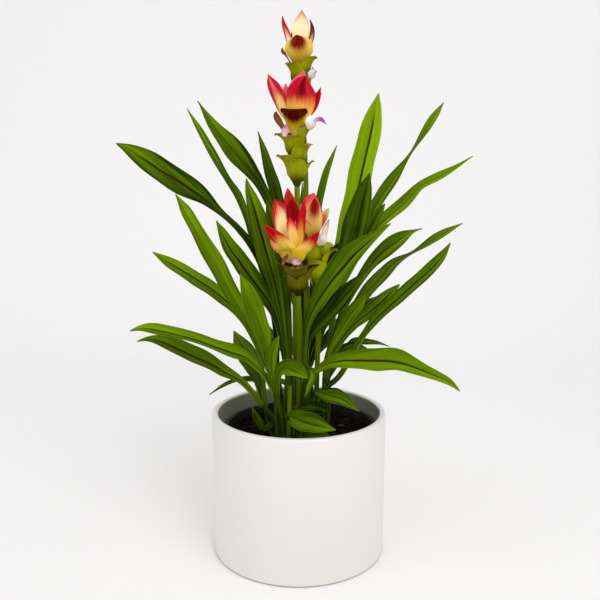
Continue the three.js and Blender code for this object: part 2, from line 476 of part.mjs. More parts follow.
// A leaf: a channelled stalk that opens into a blade folded along its midrib. Its widths are as
// seen from the front, so a blade that is turned away is wider than that.
function leaf(start, [, fold, ...all]) {
  const path = thinned(all, thinning.leaf);
  const points = [start, ...path.map(([across, up, behind]) => seen(across, up, behind))];
  const curve = new THREE.CatmullRomCurve3(points, false, 'centripetal');
  const tilt = THREE.MathUtils.degToRad(fold);
  const upward = points.at(-1).x > points[0].x ? -1 : 1;
  const rows = [];
  const under = [];
  for (let i = 0; i < points.length; i++) {
    const centre = curve.getPoint(i / (points.length - 1));
    const forward = curve.getTangent(i / (points.length - 1));
    const [, , , degrees, width] = path[Math.max(0, i - 1)];
    const turn = THREE.MathUtils.degToRad(upward * degrees);
    const face = eye.clone().sub(centre).normalize();
    face.addScaledVector(forward, -face.dot(forward)).normalize().applyAxisAngle(forward, turn);
    const side = forward.clone().cross(face);
    const seenShare = Math.cos(tilt) * Math.max(blade.leastSeen, Math.cos(turn));
    const half = Math.max(blade.tip, width / 2 / seenShare);
    const grown = Math.min(1, Math.max(0, width / blade.petiole - 1) + (2 * i > points.length));
    const depth = THREE.MathUtils.lerp(blade.petioleDepth, blade.thickness, grown);
    const row = [-half, 0, half].map((x) => centre.clone()
      .addScaledVector(side, x * Math.cos(tilt))
      .addScaledVector(face, (Math.abs(x) - half) * Math.sin(tilt)));
    rows.push(row);
    under.push(row.map((p) => p.clone().addScaledVector(face, -depth)));
  }
  return sheet(rows, under);
}

// One cross section of a cupped bract: the same points on its outer face and its inner one.
function cupped(centre, side, inward, half, cup, wall, places) {
  const at = (depth) => places.map((s) => {
    const angle = (s * half) / cup;
    return centre.clone()
      .addScaledVector(side, (cup - depth) * Math.sin(angle))
      .addScaledVector(inward, cup - (cup - depth) * Math.cos(angle));
  });
  return [at(0), at(wall)];
}

// A coloured bract, cupped toward the side that it faces.
const petalPlaces = { wide: [-1, -0.36, 0.36, 1], narrow: [-1, 0, 1] };
function petal([cup, facing, ...all], behind) {
  const path = thinned(all, thinning.petal);
  const points = path.map(([across, up, past]) => seen(across, up, behind + past));
  const curve = new THREE.CatmullRomCurve3(points, false, 'centripetal');
  const angle = THREE.MathUtils.degToRad(facing);
  const widest = Math.max(...path.map((p) => p[3]));
  const places = widest > bract.wide ? petalPlaces.wide : petalPlaces.narrow;
  const rows = [];
  const under = [];
  path.forEach((point, i) => {
    const forward = curve.getTangent(i / (path.length - 1));
    const inward = new THREE.Vector3(Math.sin(angle), -Math.cos(angle), 0);
    inward.addScaledVector(forward, -inward.dot(forward)).normalize();
    const side = inward.clone().cross(forward);
    const half = cup * Math.asin(Math.min(0.98, Math.max(bract.tip, point[3]) / 2 / cup));
    const [outer, inner] = cupped(points[i], side, inward, half, cup, bract.wall, places);
    rows.push(outer);
    under.push(inner);
  });
  return sheet(rows, under);
}

// A green bract, pouched full against the cone, with a thin rim curled out.
function pouch([azimuth, height, length, width, low, tip], base, axis) {
  const right = new THREE.Vector3(1, 0, 0).addScaledVector(axis, -axis.x).normalize();
  const back = axis.clone().cross(right);
  const angle = THREE.MathUtils.degToRad(azimuth);
  const out = right.multiplyScalar(Math.cos(angle)).addScaledVector(back, Math.sin(angle));
  const side = out.clone().negate().cross(axis);
  const centre = base.clone().addScaledVector(axis, height).addScaledVector(out, bract.core - 2);
  const { cup, footLean, topLean, spread, walls } = pouchShape;
  const leans = [low + footLean, low, THREE.MathUtils.lerp(low, tip, topLean), tip];
  const rows = [];
  const under = [];
  leans.forEach((degrees, i) => {
    const lean = THREE.MathUtils.degToRad(degrees);
    const inward = axis.clone().multiplyScalar(Math.sin(lean)).addScaledVector(out, -Math.cos(lean));
    const half = (spread[i] * width) / 2;
    const [outer, inner] = cupped(centre, side, inward, half, cup, walls[i], [-1, 0, 1]);
    rows.push(outer);
    under.push(inner);
    const next = THREE.MathUtils.degToRad(along(leans, Math.min(i + 0.5, 3)));
    centre.addScaledVector(axis, (Math.cos(next) * length) / 3);
    centre.addScaledVector(out, (Math.sin(next) * length) / 3);
  });
  return sheet(rows, under);
}

function stemPoints([x, y], upper) {
  const heights = [socket.gap - socket.depth, 4, 14];
  return heights.map((z) => new THREE.Vector3(x, y, soil.top + z)).concat(upper);
}

// One body of overlapping solids, with any hollow shut in between them filled.
function mergeAll(solids) {
  const shells = solids.reduce((whole, solid) => whole.add(solid)).decompose();
  return shells.filter((shell) => shell.volume() > 0).reduce((whole, solid) => whole.add(solid));
}

const plant = new THREE.Group();
plant.name = 'potted_siam_tulip';

function addNode(name, solid, color, roughness) {
  const mesh = solid.getMesh();
  const geometry = new THREE.BufferGeometry();
  geometry.setAttribute('position', new THREE.BufferAttribute(Float32Array.from(mesh.vertProperties), 3));
  geometry.setIndex(new THREE.BufferAttribute(Uint32Array.from(mesh.triVerts), 1));
  geometry.computeVertexNormals();
  const node = new THREE.Mesh(geometry, new THREE.MeshStandardMaterial({ color, roughness, metalness: 0 }));
  node.name = name;
  plant.add(node);
}

function lathe(profile, sides) {
  const points = profile.map(([r, z]) => new THREE.Vector2(r, z));
  return solidOf(new THREE.LatheGeometry(points, sides).rotateX(Math.PI / 2));
}

// Cover pot: a thick straight wall with a rounded lip, and a small radius at the foot.
const { radius, footRadius, height, wall, floor, lip } = coverPot;
const bore = radius - wall;
addNode('cover_pot', lathe([
  [0, 0], [footRadius - 2, 0], [footRadius - 0.6, 0.6], [footRadius, 2],
  [radius, height - lip], [radius - 0.3 * lip, height - 0.3 * lip], [radius - lip, height],
  [bore + lip, height], [bore + 0.3 * lip, height - 0.3 * lip], [bore, height - lip],
  [bore, floor + 5], [bore - 1.5, floor + 1.5], [bore - 5, floor], [0, floor],
], coverPot.sides), 0xe9e6e2, 0.35);

// Grow pot: thin tapered plastic with a rolled bead round its rim.
const grow = growPot;
const [beadFoot, beadOut] = [grow.top - grow.beadDepth, grow.rim + grow.bead];
const [inside, inFloor] = [grow.rim - grow.wall, grow.bottom + grow.wall];
addNode('grow_pot', lathe([
  [0, grow.bottom], [grow.foot - 1, grow.bottom], [grow.foot, grow.bottom + 1],
  [grow.rim - 0.9, beadFoot], [beadOut, beadFoot + 1], [beadOut, grow.top - 0.8], [beadOut - 0.8, grow.top],
  [inside + 0.6, grow.top], [inside, grow.top - 0.8], [inside - 0.9, beadFoot - 1],
  [grow.foot - grow.wall, inFloor], [0, inFloor],
], grow.sides).translate([grow.x, grow.y, 0]), 0x1c1c1c, 0.5);

// Soil: it fills the grow pot to below its rim, lumpy on top, with a plain hole for every stem.
const potSlope = (inside - 0.9 - grow.foot + grow.wall) / (beadFoot - 1 - inFloor);
const soilRadius = (z) => grow.foot - grow.wall - soil.gap + potSlope * (z - inFloor);
const soilRings = [[0, soil.bottom], [soilRadius(soil.bottom), soil.bottom]];
for (let i = 0; i < soil.rings; i++) {
  soilRings.push([soilRadius(soil.top) * (1 - (i * (i + 4)) / (soil.rings * (soil.rings + 4))), soil.top]);
}
soilRings.push([0, soil.top]);
const soilPoints = soilRings.map(([r, z]) => new THREE.Vector2(r, z));
const soilShape = new THREE.LatheGeometry(soilPoints, soil.sides).rotateX(Math.PI / 2);
const spots = soilShape.attributes.position;
for (let i = 0; i < spots.count; i++) {
  const [x, y, z] = [spots.getX(i), spots.getY(i), spots.getZ(i)];
  const inner = Math.hypot(x, y) < soilRadius(soil.top) - 1;
  if (z > soil.top - 1 && inner) {
    const broad = Math.sin(x * 0.21 + 1) * Math.sin(y * 0.17);
    const fine = Math.sin(x * 0.47) * Math.sin(y * 0.39 + 2);
    spots.setZ(i, z + soil.lump * (0.6 * broad + 0.4 * fine));
  }
}
let soilBody = solidOf(soilShape).translate([grow.x, grow.y, 0]);
const stems = [
  ...Object.values(shoots).map((shoot) => [shoot.foot, shoot.girth[0], stemSides.shoot]),
  ...Object.values(spikes).map((spike) => [spike.foot, bract.scape, stemSides.scape]),
  [cutStub.foot, cutStub.girth[0], stemSides.scape],
];
for (const [[x, y], girth, sides] of stems) {
  const reach = (girth + socket.gap) / Math.cos(Math.PI / sides);
  const hole = new THREE.CylinderGeometry(reach, reach, 2 * socket.depth, sides);
  soilBody = soilBody.subtract(solidOf(hole.rotateX(Math.PI / 2)).translate([x, y, soil.top]));
}
addNode('soil', soilBody, 0x1d1712, 0.95);

// Leafy shoots: each is a rolled sheath of leaf bases with its leaves fused to it.
const greens = [0x5e7d1f, 0x6c8a1e, 0x547321, 0x4d6d20];
Object.entries(shoots).forEach(([name, shoot], i) => {
  const points = stemPoints(shoot.foot, seen(...shoot.neck));
  const curve = new THREE.CatmullRomCurve3(points, false, 'centripetal');
  const [low, high] = shoot.girth;
  const radii = [low, low, THREE.MathUtils.lerp(low, high, 0.3), high];
  const sheath = tube(points, radii, 5, stemSides.shoot);
  const free = 1 - (socket.depth + 8) / curve.getLength();
  const leaves = shoot.leaves.map((row) => {
    return leaf(curve.getPointAt(1 - free + free * row[0]), row);
  });
  addNode(name, mergeAll([sheath, ...leaves]), greens[i % greens.length], 0.5);
});

// Flower spikes: a bare scape and green cone of pouched bracts, and the coloured crown above.
for (const [name, spike] of Object.entries(spikes)) {
  const [base, top] = spike.cone.map((p) => seen(...p));
  const axis = top.clone().sub(base).normalize();
  const rise = spike.stem.map((p) => seen(...p));
  const into = base.clone().addScaledVector(axis, 8);
  const route = [...stemPoints(spike.foot, rise), base, into];
  const scape = tube(route, [bract.scape, bract.scape], 8, stemSides.scape);
  const body = tube([base.clone().addScaledVector(axis, -4), into, base.clone().lerp(top, 0.6), top],
    [bract.scape, bract.core, bract.core, bract.core - 3], 4, 8);
  const pouches = spike.pouches.map((row) => pouch(row, base, axis));
  addNode(`scape_${name}`, mergeAll([scape, body, ...pouches]), 0x8a9a2c, 0.5);
  const coreTop = seen(...spike.core);
  const coreAxis = coreTop.clone().sub(top).normalize();
  const coreFoot = top.clone().addScaledVector(coreAxis, heart.seat);
  const core = tube([coreFoot, coreFoot.clone().lerp(coreTop, 0.5), coreTop], heart.radii, 2, 6);
  const petals = spike.petals.map((row) => petal(row, spike.behind));
  addNode(`crown_${name}`, mergeAll([core, ...petals]), 0xd9405a, 0.5);
}

for (const [name, rows] of Object.entries(flowers)) {
  addNode(name, mergeAll(rows.map((row) => petal(row, 0))), 0xf1dfe6, 0.5);
}

const [stubLow, stubHigh] = cutStub.girth;
const stubRadii = [stubLow, stubLow, stubLow, stubHigh];
const stubRoute = stemPoints(cutStub.foot, [seen(...cutStub.top)]);
addNode('cut_stub', tube(stubRoute, stubRadii, 4, stemSides.scape), 0x9aa04a, 0.6);

export default plant;
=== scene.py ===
# Potted Siam tulip: white cover pot, black grow pot, soil, leafy shoots and four flower spikes,
# in a plain pale studio. Tables are in millimetres, Blender objects in metres.
import bisect
import math
import random

import bpy
from mathutils import Matrix, Vector, noise


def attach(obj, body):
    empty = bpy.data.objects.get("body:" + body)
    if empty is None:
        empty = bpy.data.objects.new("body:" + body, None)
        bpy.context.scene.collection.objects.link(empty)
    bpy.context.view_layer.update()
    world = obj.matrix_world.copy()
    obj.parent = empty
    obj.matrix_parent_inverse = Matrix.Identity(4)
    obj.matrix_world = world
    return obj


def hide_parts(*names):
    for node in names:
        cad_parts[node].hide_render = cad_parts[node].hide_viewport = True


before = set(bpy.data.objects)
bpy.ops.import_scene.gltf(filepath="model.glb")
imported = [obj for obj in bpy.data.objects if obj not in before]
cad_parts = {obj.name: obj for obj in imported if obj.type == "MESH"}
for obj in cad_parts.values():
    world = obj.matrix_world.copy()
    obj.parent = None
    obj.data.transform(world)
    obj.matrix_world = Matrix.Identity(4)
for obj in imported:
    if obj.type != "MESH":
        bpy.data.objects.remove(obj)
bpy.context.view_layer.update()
mm = 0.001
print("frame loaded:", len(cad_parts), "nodes")

# Camera, in front of the plant and a little above the rim
cameraValues = {
    "eye": (0, -807, 427),
    "lookDown": 9.43,  # degrees
    "board": 818,  # from the eye to the board that the plant is laid out on
    "lens": 43.5,
    "sensor": 36,
    "shiftX": 0.002,
    "clip": (0.05, 20),  # metres
}
eye = Vector(cameraValues["eye"])
lookDown = math.radians(cameraValues["lookDown"])
ahead = Vector((0, math.cos(lookDown), -math.sin(lookDown)))
boardUp = Vector((0, math.sin(lookDown), math.cos(lookDown)))


def seen(across, up, behind):
    # the point seen at this place on the board, and this far behind the pot's axis
    ray = ahead * cameraValues["board"] + boardUp * up + Vector((across, 0, 0))
    return eye + ray * ((behind - eye.y) / ray.y)


def addCamera():
    data = bpy.data.cameras.new("camera")
    data.sensor_width = cameraValues["sensor"]
    data.lens = cameraValues["lens"]
    data.shift_x = cameraValues["shiftX"]
    data.clip_start, data.clip_end = cameraValues["clip"]
    camera = bpy.data.objects.new("camera", data)
    bpy.context.scene.collection.objects.link(camera)
    camera.location = eye * mm
    camera.rotation_euler = (math.radians(90) - lookDown, 0, 0)
    bpy.context.scene.camera = camera


addCamera()
print("camera placed")


# Placing and shaping
fullTurn = 6.283  # radians
anyPhase = (0, 6.3)  # for a random start of a wave or a random spin
innerWeight = 0.4  # a sheet's point lies on its inner face from this weight on
facesUp, facesOut = 0.9, 0.5  # the least rise of a level face's normal, and the most of an upright one's
sharpFrom = 50  # degrees, for the edges of the pots that are rounded


def lerp(a, b, t):
    return a + (b - a) * t


def clamp(value, low=0.0, high=1.0):
    return max(low, min(high, value))


def along(values, place):
    i = min(int(place), len(values) - 2)
    return lerp(values[i], values[i + 1], place - i)


def eased(values, place):
    # as along, but with no corner at the values
    i = min(int(place), len(values) - 2)
    a, b, c, d = (values[clamp(k, 0, len(values) - 1)] for k in (i - 1, i, i + 1, i + 2))
    w = place - i
    return b + 0.5 * w * (c - a + w * (2 * a - 5 * b + 4 * c - d + w * (3 * (b - c) + d - a)))


class Route:
    # a smooth line through points, read by the share of its length
    nudge = 1e-3  # the least step along it

    def __init__(self, points, steps=240):
        ends = [points[0] * 2 - points[1], points[-1] * 2 - points[-2]]
        self.points = [ends[0], *points, ends[1]]
        self.spans = len(points) - 1
        spots = [self.spot(i / steps) for i in range(steps + 1)]
        self.reach = [0.0]
        for before, here in zip(spots, spots[1:]):
            self.reach.append(self.reach[-1] + (here - before).length)
        self.long = self.reach[-1]

    def spot(self, t):
        place = t * self.spans
        i = int(clamp(place, 0, self.spans - 1))
        a, b, c, d = self.points[i:i + 4]
        w = place - i
        da, db, dc = (max((q - p).length ** 0.5, self.nudge) for p, q in ((a, b), (b, c), (c, d)))
        m = ((b - a) / da - (c - a) / (da + db) + (c - b) / db) * db
        n = ((c - b) / db - (d - b) / (db + dc) + (d - c) / dc) * db
        return b + m * w + (3 * (c - b) - 2 * m - n) * w ** 2 + (2 * (b - c) + m + n) * w ** 3

    def share(self, s):
        target = clamp(s) * self.long
        i = clamp(bisect.bisect_left(self.reach, target), 1, len(self.reach) - 1)
        step = self.reach[i] - self.reach[i - 1]
        return (i - 1 + (target - self.reach[i - 1]) / step) / (len(self.reach) - 1)

    def at(self, s):
        return self.spot(self.share(s))

    def heading(self, s):
        t = self.share(s)
        return (self.spot(min(1, t + self.nudge)) - self.spot(max(0, t - self.nudge))).normalized()


def squared(heading, vector):
    # what is left of a vector at a right angle to a heading
    return (vector - heading * vector.dot(heading)).normalized()


def turned(vector, axis, degrees):
    return Matrix.Rotation(math.radians(degrees), 3, axis) @ vector


def deselectAll():
    if bpy.context.object and bpy.context.object.mode != "OBJECT":
        bpy.ops.object.mode_set(mode="OBJECT")
    bpy.ops.object.select_all(action="DESELECT")


def applyAll(piece):
    bpy.context.view_layer.objects.active = piece
    for modifier in list(piece.modifiers):
        bpy.ops.object.modifier_apply(modifier=modifier.name)


def pickFaces(piece, test):
    # leaves edit mode on, with the faces picked whose middle and normal pass the test
    if piece.mode != "EDIT":
        bpy.ops.object.mode_set(mode="EDIT")
    bpy.ops.mesh.select_mode(type="FACE")
    bpy.ops.mesh.select_all(action="DESELECT")
    bpy.ops.object.mode_set(mode="OBJECT")
    for face in piece.data.polygons:
        face.select = test(face.center, face.normal)
    bpy.ops.object.mode_set(mode="EDIT")


def setLook(piece, looks, inside=None):
    # one colour for each named look, the same all over the piece, or another one on a sheet's inner face
    within = [False] * len(piece.data.vertices)
    if inside:
        inner = piece.vertex_groups["inner"].index
        for i, vertex in enumerate(piece.data.vertices):
            within[i] = any(g.group == inner and g.weight > innerWeight for g in vertex.groups)
    for name, value in looks.items():
        layer = piece.data.attributes.new(name, "FLOAT_COLOR", "POINT")
        colours = [inside[name] if lies else value for lies in within]
        layer.data.foreach_set("color", [part for colour in colours for part in colour])


def addCone(sides, footRadius, topRadius, low, high, x=0, y=0):
    # a closed cone on end, measures in metres
    deselectAll()
    bpy.ops.mesh.primitive_cone_add(
        vertices=sides, radius1=footRadius, radius2=topRadius, depth=high - low,
        location=(x, y, (low + high) / 2), end_fill_type="NGON")
    bpy.ops.object.transform_apply(location=True)
    return bpy.context.object


def roundEdges(piece, width, segments):
    edges = piece.modifiers.new("edges", "BEVEL")
    edges.limit_method = "ANGLE"
    edges.angle_limit = math.radians(sharpFrom)
    edges.width = width * mm
    edges.segments = segments
    applyAll(piece)


def newGrid(name, columns, rows):
    deselectAll()
    bpy.ops.mesh.primitive_grid_add(x_subdivisions=columns, y_subdivisions=rows, size=2)
    piece = bpy.context.object
    piece.name = piece.data.name = name
    return piece


def makeSheet(name, columns, rows, rowAt, wallAt):
    # a thin closed sheet: rowAt(s, places) gives the points of its outer face at height s,
    # for places from -1 to 1 across, and wallAt(s) how thick it is there
    piece = newGrid(name, columns, rows)
    places = [2 * i / columns - 1 for i in range(columns + 1)]
    heights = [i / rows for i in range(rows + 1)]
    points = [point for s in heights for point in rowAt(s, places)]
    spots = [(round(v.co.y, 4), v.co.x, v.index) for v in piece.data.vertices]
    thickest = max(wallAt(s) for s in heights)
    group = piece.vertex_groups.new(name="wall")
    for place, (y, x, i) in enumerate(sorted(spots)):
        piece.data.vertices[i].co = points[place] * mm
        group.add([i], wallAt(heights[place // (columns + 1)]) / thickest, "REPLACE")
    wall = piece.modifiers.new("wall", "SOLIDIFY")
    wall.thickness = thickest * mm
    wall.offset = -1
    wall.vertex_group = "wall"
    piece.vertex_groups.new(name="inner")
    wall.shell_vertex_group = "inner"
    finer = piece.modifiers.new("finer", "SUBSURF")
    finer.levels = finer.render_levels = 1
    applyAll(piece)
    return piece


def makeTube(name, route, radiusAt, sides, rows):
    # a closed round stem along a route: radiusAt(s, angle) is its radius there
    piece = newGrid(name, sides, rows)
    for vertex in piece.data.vertices:
        s, angle = (vertex.co.y + 1) / 2, math.pi * (vertex.co.x + 1)
        heading = route.heading(s)
        right = squared(heading, Vector((1, 0, 0)))
        back = heading.cross(right)
        out = right * math.cos(angle) + back * math.sin(angle)
        vertex.co = (route.at(s) + out * radiusAt(s, angle)) * mm
    bpy.ops.object.mode_set(mode="EDIT")
    bpy.ops.mesh.select_all(action="SELECT")
    bpy.ops.mesh.remove_doubles(threshold=1e-6)
    bpy.ops.mesh.fill_holes(sides=0)
    bpy.ops.object.mode_set(mode="OBJECT")
    return piece


def finishPiece(name, parts, material, node=None, smooth=60):
    # the parts become one piece that rides on the root and stands for its node, if it has one
    deselectAll()
    for part in parts:
        part.vertex_groups.clear()
        part.select_set(True)
    bpy.context.view_layer.objects.active = parts[0]
    if len(parts) > 1:
        bpy.ops.object.join()
    piece = bpy.context.object
    piece.name = piece.data.name = name
    piece.data.materials.clear()
    piece.data.materials.append(material)
    bpy.ops.object.shade_smooth_by_angle(angle=math.radians(smooth))
    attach(piece, "root")
    if node:
        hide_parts(node)


# Wiring materials
def paint(red, green, blue):
    # a colour as it looks on screen, made linear
    channels = [c / 255 for c in (red, green, blue)]
    return (*(c / 12.92 if c < 0.04 else ((c + 0.055) / 1.055) ** 2.4 for c in channels), 1.0)


class Finish:
    def __init__(self, name):
        self.material = bpy.data.materials.new(name)
        self.material.use_nodes = True
        self.tree = self.material.node_tree
        self.shader = self.tree.nodes["Principled BSDF"]
        self.coords = self.tree.nodes.new("ShaderNodeTexCoord").outputs["Object"]

    def feed(self, value, socket):
        if isinstance(value, bpy.types.NodeSocket):
            self.tree.links.new(value, socket)
        else:
            socket.default_value = value

    def node(self, kind, inputs, **settings):
        made = self.tree.nodes.new(kind)
        for key, value in settings.items():
            setattr(made, key, value)
        for key, value in inputs.items():
            self.feed(value, made.inputs[key])
        return made

    def math(self, operation, a, b=0.0, c=0.0):
        return self.node("ShaderNodeMath", {0: a, 1: b, 2: c}, operation=operation).outputs[0]

    def times(self, a, b):
        return self.math("MULTIPLY", a, b)

    def scaled(self, value, factor, offset):
        return self.math("MULTIPLY_ADD", value, factor, offset)

    def total(self, first, *others):
        for other in others:
            first = self.math("ADD", first, other)
        return first

    def rough(self, grain, level, swing):
        # the level, give or take half the swing
        return self.scaled(grain, swing, level - swing / 2)

    def step(self, value, low, high, start=0.0, end=1.0):
        inputs = {"Value": value, "From Min": low, "From Max": high, "To Min": start, "To Max": end}
        return self.node("ShaderNodeMapRange", inputs, interpolation_type="SMOOTHSTEP").outputs[0]

    def mix(self, share, a, b, blend="MIX"):
        made = self.tree.nodes.new("ShaderNodeMix")
        made.data_type, made.blend_type = "RGBA", blend
        for key, value in (("Factor", share), ("A", a), ("B", b)):
            self.feed(value, next(k for k in made.inputs if k.name == key and k.enabled))
        return next(k for k in made.outputs if k.enabled)

    def shade(self, colour, level):
        level = self.node("ShaderNodeCombineColor", {0: level, 1: level, 2: level}).outputs[0]
        return self.mix(1.0, colour, level, "MULTIPLY")

    def noise(self, vector, scale, detail=3.0, roughness=0.55):
        inputs = {"Vector": vector, "Scale": scale, "Detail": detail, "Roughness": roughness}
        return self.node("ShaderNodeTexNoise", inputs).outputs["Fac"]

    def stretch(self, vector, x, y, z=1.0):
        return self.node("ShaderNodeMapping", {"Vector": vector, "Scale": (x, y, z)}).outputs[0]

    def sheetPlace(self):
        # on the sheet's own map: 0 at the midrib to 1 at the edge, and 0 at the root to 1 at the tip
        spot = self.node("ShaderNodeUVMap", {}, uv_map="UVMap").outputs[0]
        parts = self.node("ShaderNodeSeparateXYZ", {"Vector": spot})
        side = self.scaled(parts.outputs[0], 2.0, -1.0)
        return spot, side, self.math("ABSOLUTE", side), parts.outputs[1]

    def ownSpot(self, spot, spread):
        # the map shifted by where the sheet is, so that each has its own streaks
        inputs = {0: self.coords, 1: (spread, spread, spread), 2: spot}
        return self.node("ShaderNodeVectorMath", inputs, operation="MULTIPLY_ADD").outputs[0]

    def away(self):
        # how far out from the cover pot's axis
        flat = self.node("ShaderNodeVectorMath", {0: self.coords, 1: (1, 1, 0)}, operation="MULTIPLY")
        return self.node("ShaderNodeVectorMath", {0: flat.outputs[0]}, operation="LENGTH").outputs["Value"]

    def look(self, name):
        made = self.node("ShaderNodeAttribute", {}, attribute_name=name)
        return made.outputs["Color"], made.outputs["Alpha"]

    def bump(self, height, depth):
        return self.node("ShaderNodeBump", {"Height": height, "Distance": depth * mm}).outputs[0]

    def done(self, colour, roughness, specular=0.5, normal=None, **constants):
        self.feed(colour, self.shader.inputs["Base Color"])
        self.feed(roughness, self.shader.inputs["Roughness"])
        self.shader.inputs["Specular IOR Level"].default_value = specular
        if normal:
            self.feed(normal, self.shader.inputs["Normal"])
        for key, value in constants.items():
            self.shader.inputs[key.replace("_", " ")].default_value = value
        return self.material


# Leaf: maroon stripe on the midrib, fine slanting veins, deep to fresh green by its tone. Values in
# round brackets are a noise's scale across and along, a factor and an offset, or a soft step's ends
# and what it gives at them.
leafFinish = {
    "deep": paint(22, 42, 0),
    "bright": paint(104, 136, 0),
    "fresh": paint(140, 174, 6),
    # grey: the paler underside of a leaf, and partly a painted sheen
    "grey": paint(104, 122, 48),
    "stripe": paint(38, 16, 4),
    "edge": paint(150, 166, 60),
    "ownSpread": 6, "patches": 22, "streaks": (30, 2.6), "broad": (5, 1.3), "specks": 420,
    "patchSwing": (0.5, -0.25), "streakSwing": (0.5, -0.25), "broadSwing": (1.3, -0.62),
    "paintedInnerShade": (0, 70 * mm, -0.3, 0),  # painted shade: darker near the pot's axis, inside the plant
    "edgeShade": (0.45, 1, 0.06, -0.24),
    "tipShade": (0.7, 1, 0, 0.34),
    # painted shade: one half of a leaf darker than the other, as if lit from one side
    "paintedSideShade": (-0.1, 0.1, 0.76, 1.08),
    "freshPatches": (0.3, 0.6, 0.6, 1.06),
    "paleEdge": (0.93, 0.99, 0, 0.3),
    "stripeWobble": 0.12, "stripeWidth": (0.22, 0.1), "stripeRoot": (0.12, 0.3), "stripeTip": (0.98, 0.86),
    "speckStep": (0.76, 0.8), "speckPatches": (0.5, 0.6),
    "veins": 13,  # between the midrib and the edge
    "slant": 34, "veinWobble": 1.3, "veinShade": 0.09, "veinRelief": 0.3, "veinDepth": 0.16,
    "midribGroove": (0, 0.06),
    "roughness": 0.5, "roughSwing": 0.16, "specular": 0.02,
}


def leafMaterial():
    # the tone holds how bright, fresh and striped a leaf is, and in alpha how grey; the brightness is
    # partly painted light, darker for leaves in shade and brighter for leaves lit from behind
    values = leafFinish
    f = Finish("leaf")
    spot, side, edge, height = f.sheetPlace()
    tone, grey = f.look("tone")
    bright, fresh, striped = f.node("ShaderNodeSeparateColor", {"Color": tone}).outputs[:3]
    patches = f.noise(f.coords, values["patches"], 2)
    own = f.ownSpot(spot, values["ownSpread"])
    streaks = f.noise(f.stretch(own, *values["streaks"]), 1, 3)
    broad = f.noise(f.stretch(own, *values["broad"]), 1, 2)
    slanted = f.scaled(height, -values["slant"], f.times(edge, values["veins"]))
    wobbling = f.scaled(streaks, values["veinWobble"], slanted)
    veins = f.math("SINE", f.times(wobbling, fullTurn))
    share = f.total(
        bright,
        f.scaled(patches, *values["patchSwing"]),
        f.scaled(streaks, *values["streakSwing"]),
        f.scaled(broad, *values["broadSwing"]),
        # painted shade deep inside the plant, near the pot's axis
        f.step(f.away(), *values["paintedInnerShade"]),
        f.step(edge, *values["edgeShade"]),
        f.step(height, *values["tipShade"]))
    green = f.mix(share, values["deep"], values["bright"])
    green = f.mix(f.times(fresh, f.step(broad, *values["freshPatches"])), green, values["fresh"])
    # grey: a paler underside, partly painted sheen
    green = f.mix(grey, green, values["grey"])
    green = f.shade(green, f.scaled(veins, values["veinShade"], 1.0))
    # painted shade on one half of the leaf, as if lit from one side
    green = f.shade(green, f.step(side, *values["paintedSideShade"]))
    green = f.mix(f.step(edge, *values["paleEdge"]), green, values["edge"])
    band = f.step(f.scaled(streaks, values["stripeWobble"], edge), *values["stripeWidth"])
    for end in ("stripeRoot", "stripeTip"):
        band = f.times(band, f.step(height, *values[end]))
    green = f.mix(f.times(band, striped), green, values["stripe"])
    specks = f.step(f.noise(f.coords, values["specks"], 1), *values["speckStep"])
    specks = f.times(specks, f.step(patches, *values["speckPatches"]))
    green = f.mix(specks, green, values["stripe"])
    relief = f.total(f.times(veins, values["veinRelief"]), f.step(edge, *values["midribGroove"]))
    rough = f.rough(patches, values["roughness"], values["roughSwing"])
    return f.done(green, rough, values["specular"], f.bump(relief, values["veinDepth"]))


# Stem: ribbed, one green low down and another high up, with patches of the low one
stemFinish = {
    "rib": paint(44, 62, 0),
    "ribs": (40, 1.2), "ribStep": (0.42, 0.62, 0, 0.55), "ribDepth": 0.25,
    "patches": 30, "patchStep": (0.4, 0.7, 0, 0.35), "highStep": (0, 0.6),
    "roughness": 0.5, "specular": 0.05,
}


def stemMaterial(name, low, high):
    values = stemFinish
    f = Finish(name)
    spot, _, _, height = f.sheetPlace()
    ribs = f.noise(f.stretch(spot, *values["ribs"]), 1, 2)
    green = f.mix(f.step(height, *values["highStep"]), low, high)
    green = f.mix(f.step(ribs, *values["ribStep"]), green, values["rib"])
    patches = f.noise(f.coords, values["patches"], 2)
    green = f.mix(f.step(patches, *values["patchStep"]), green, low)
    return f.done(green, values["roughness"], values["specular"], f.bump(ribs, values["ribDepth"]))


# Bract and petal: a base colour that runs in streaks into the tip's, by the sheet's own looks
bractFinish = {
    "ownSpread": 9, "streaks": (26, 1.6), "fine": (70, 3), "patches": 90,
    "edgePower": 2.2, "streakReach": (0.36, -0.18), "fineReach": (0.2, -0.1), "rootReach": (-0.8, 1.4),
    "tipStep": (-0.2, 0.16), "tipFlecks": (0.56, 0.8, 0, 0.3),
    "heartWidth": (0.5, 0.02), "heartStep": (0, 0.2),
    "streakShade": (0.36, 0.66, 0.84, 1.06),
    "patchRelief": 0.3, "streakDepth": 0.22,
    "roughness": 0.5, "specular": 0.03, "glowDepth": 3 * mm,
}


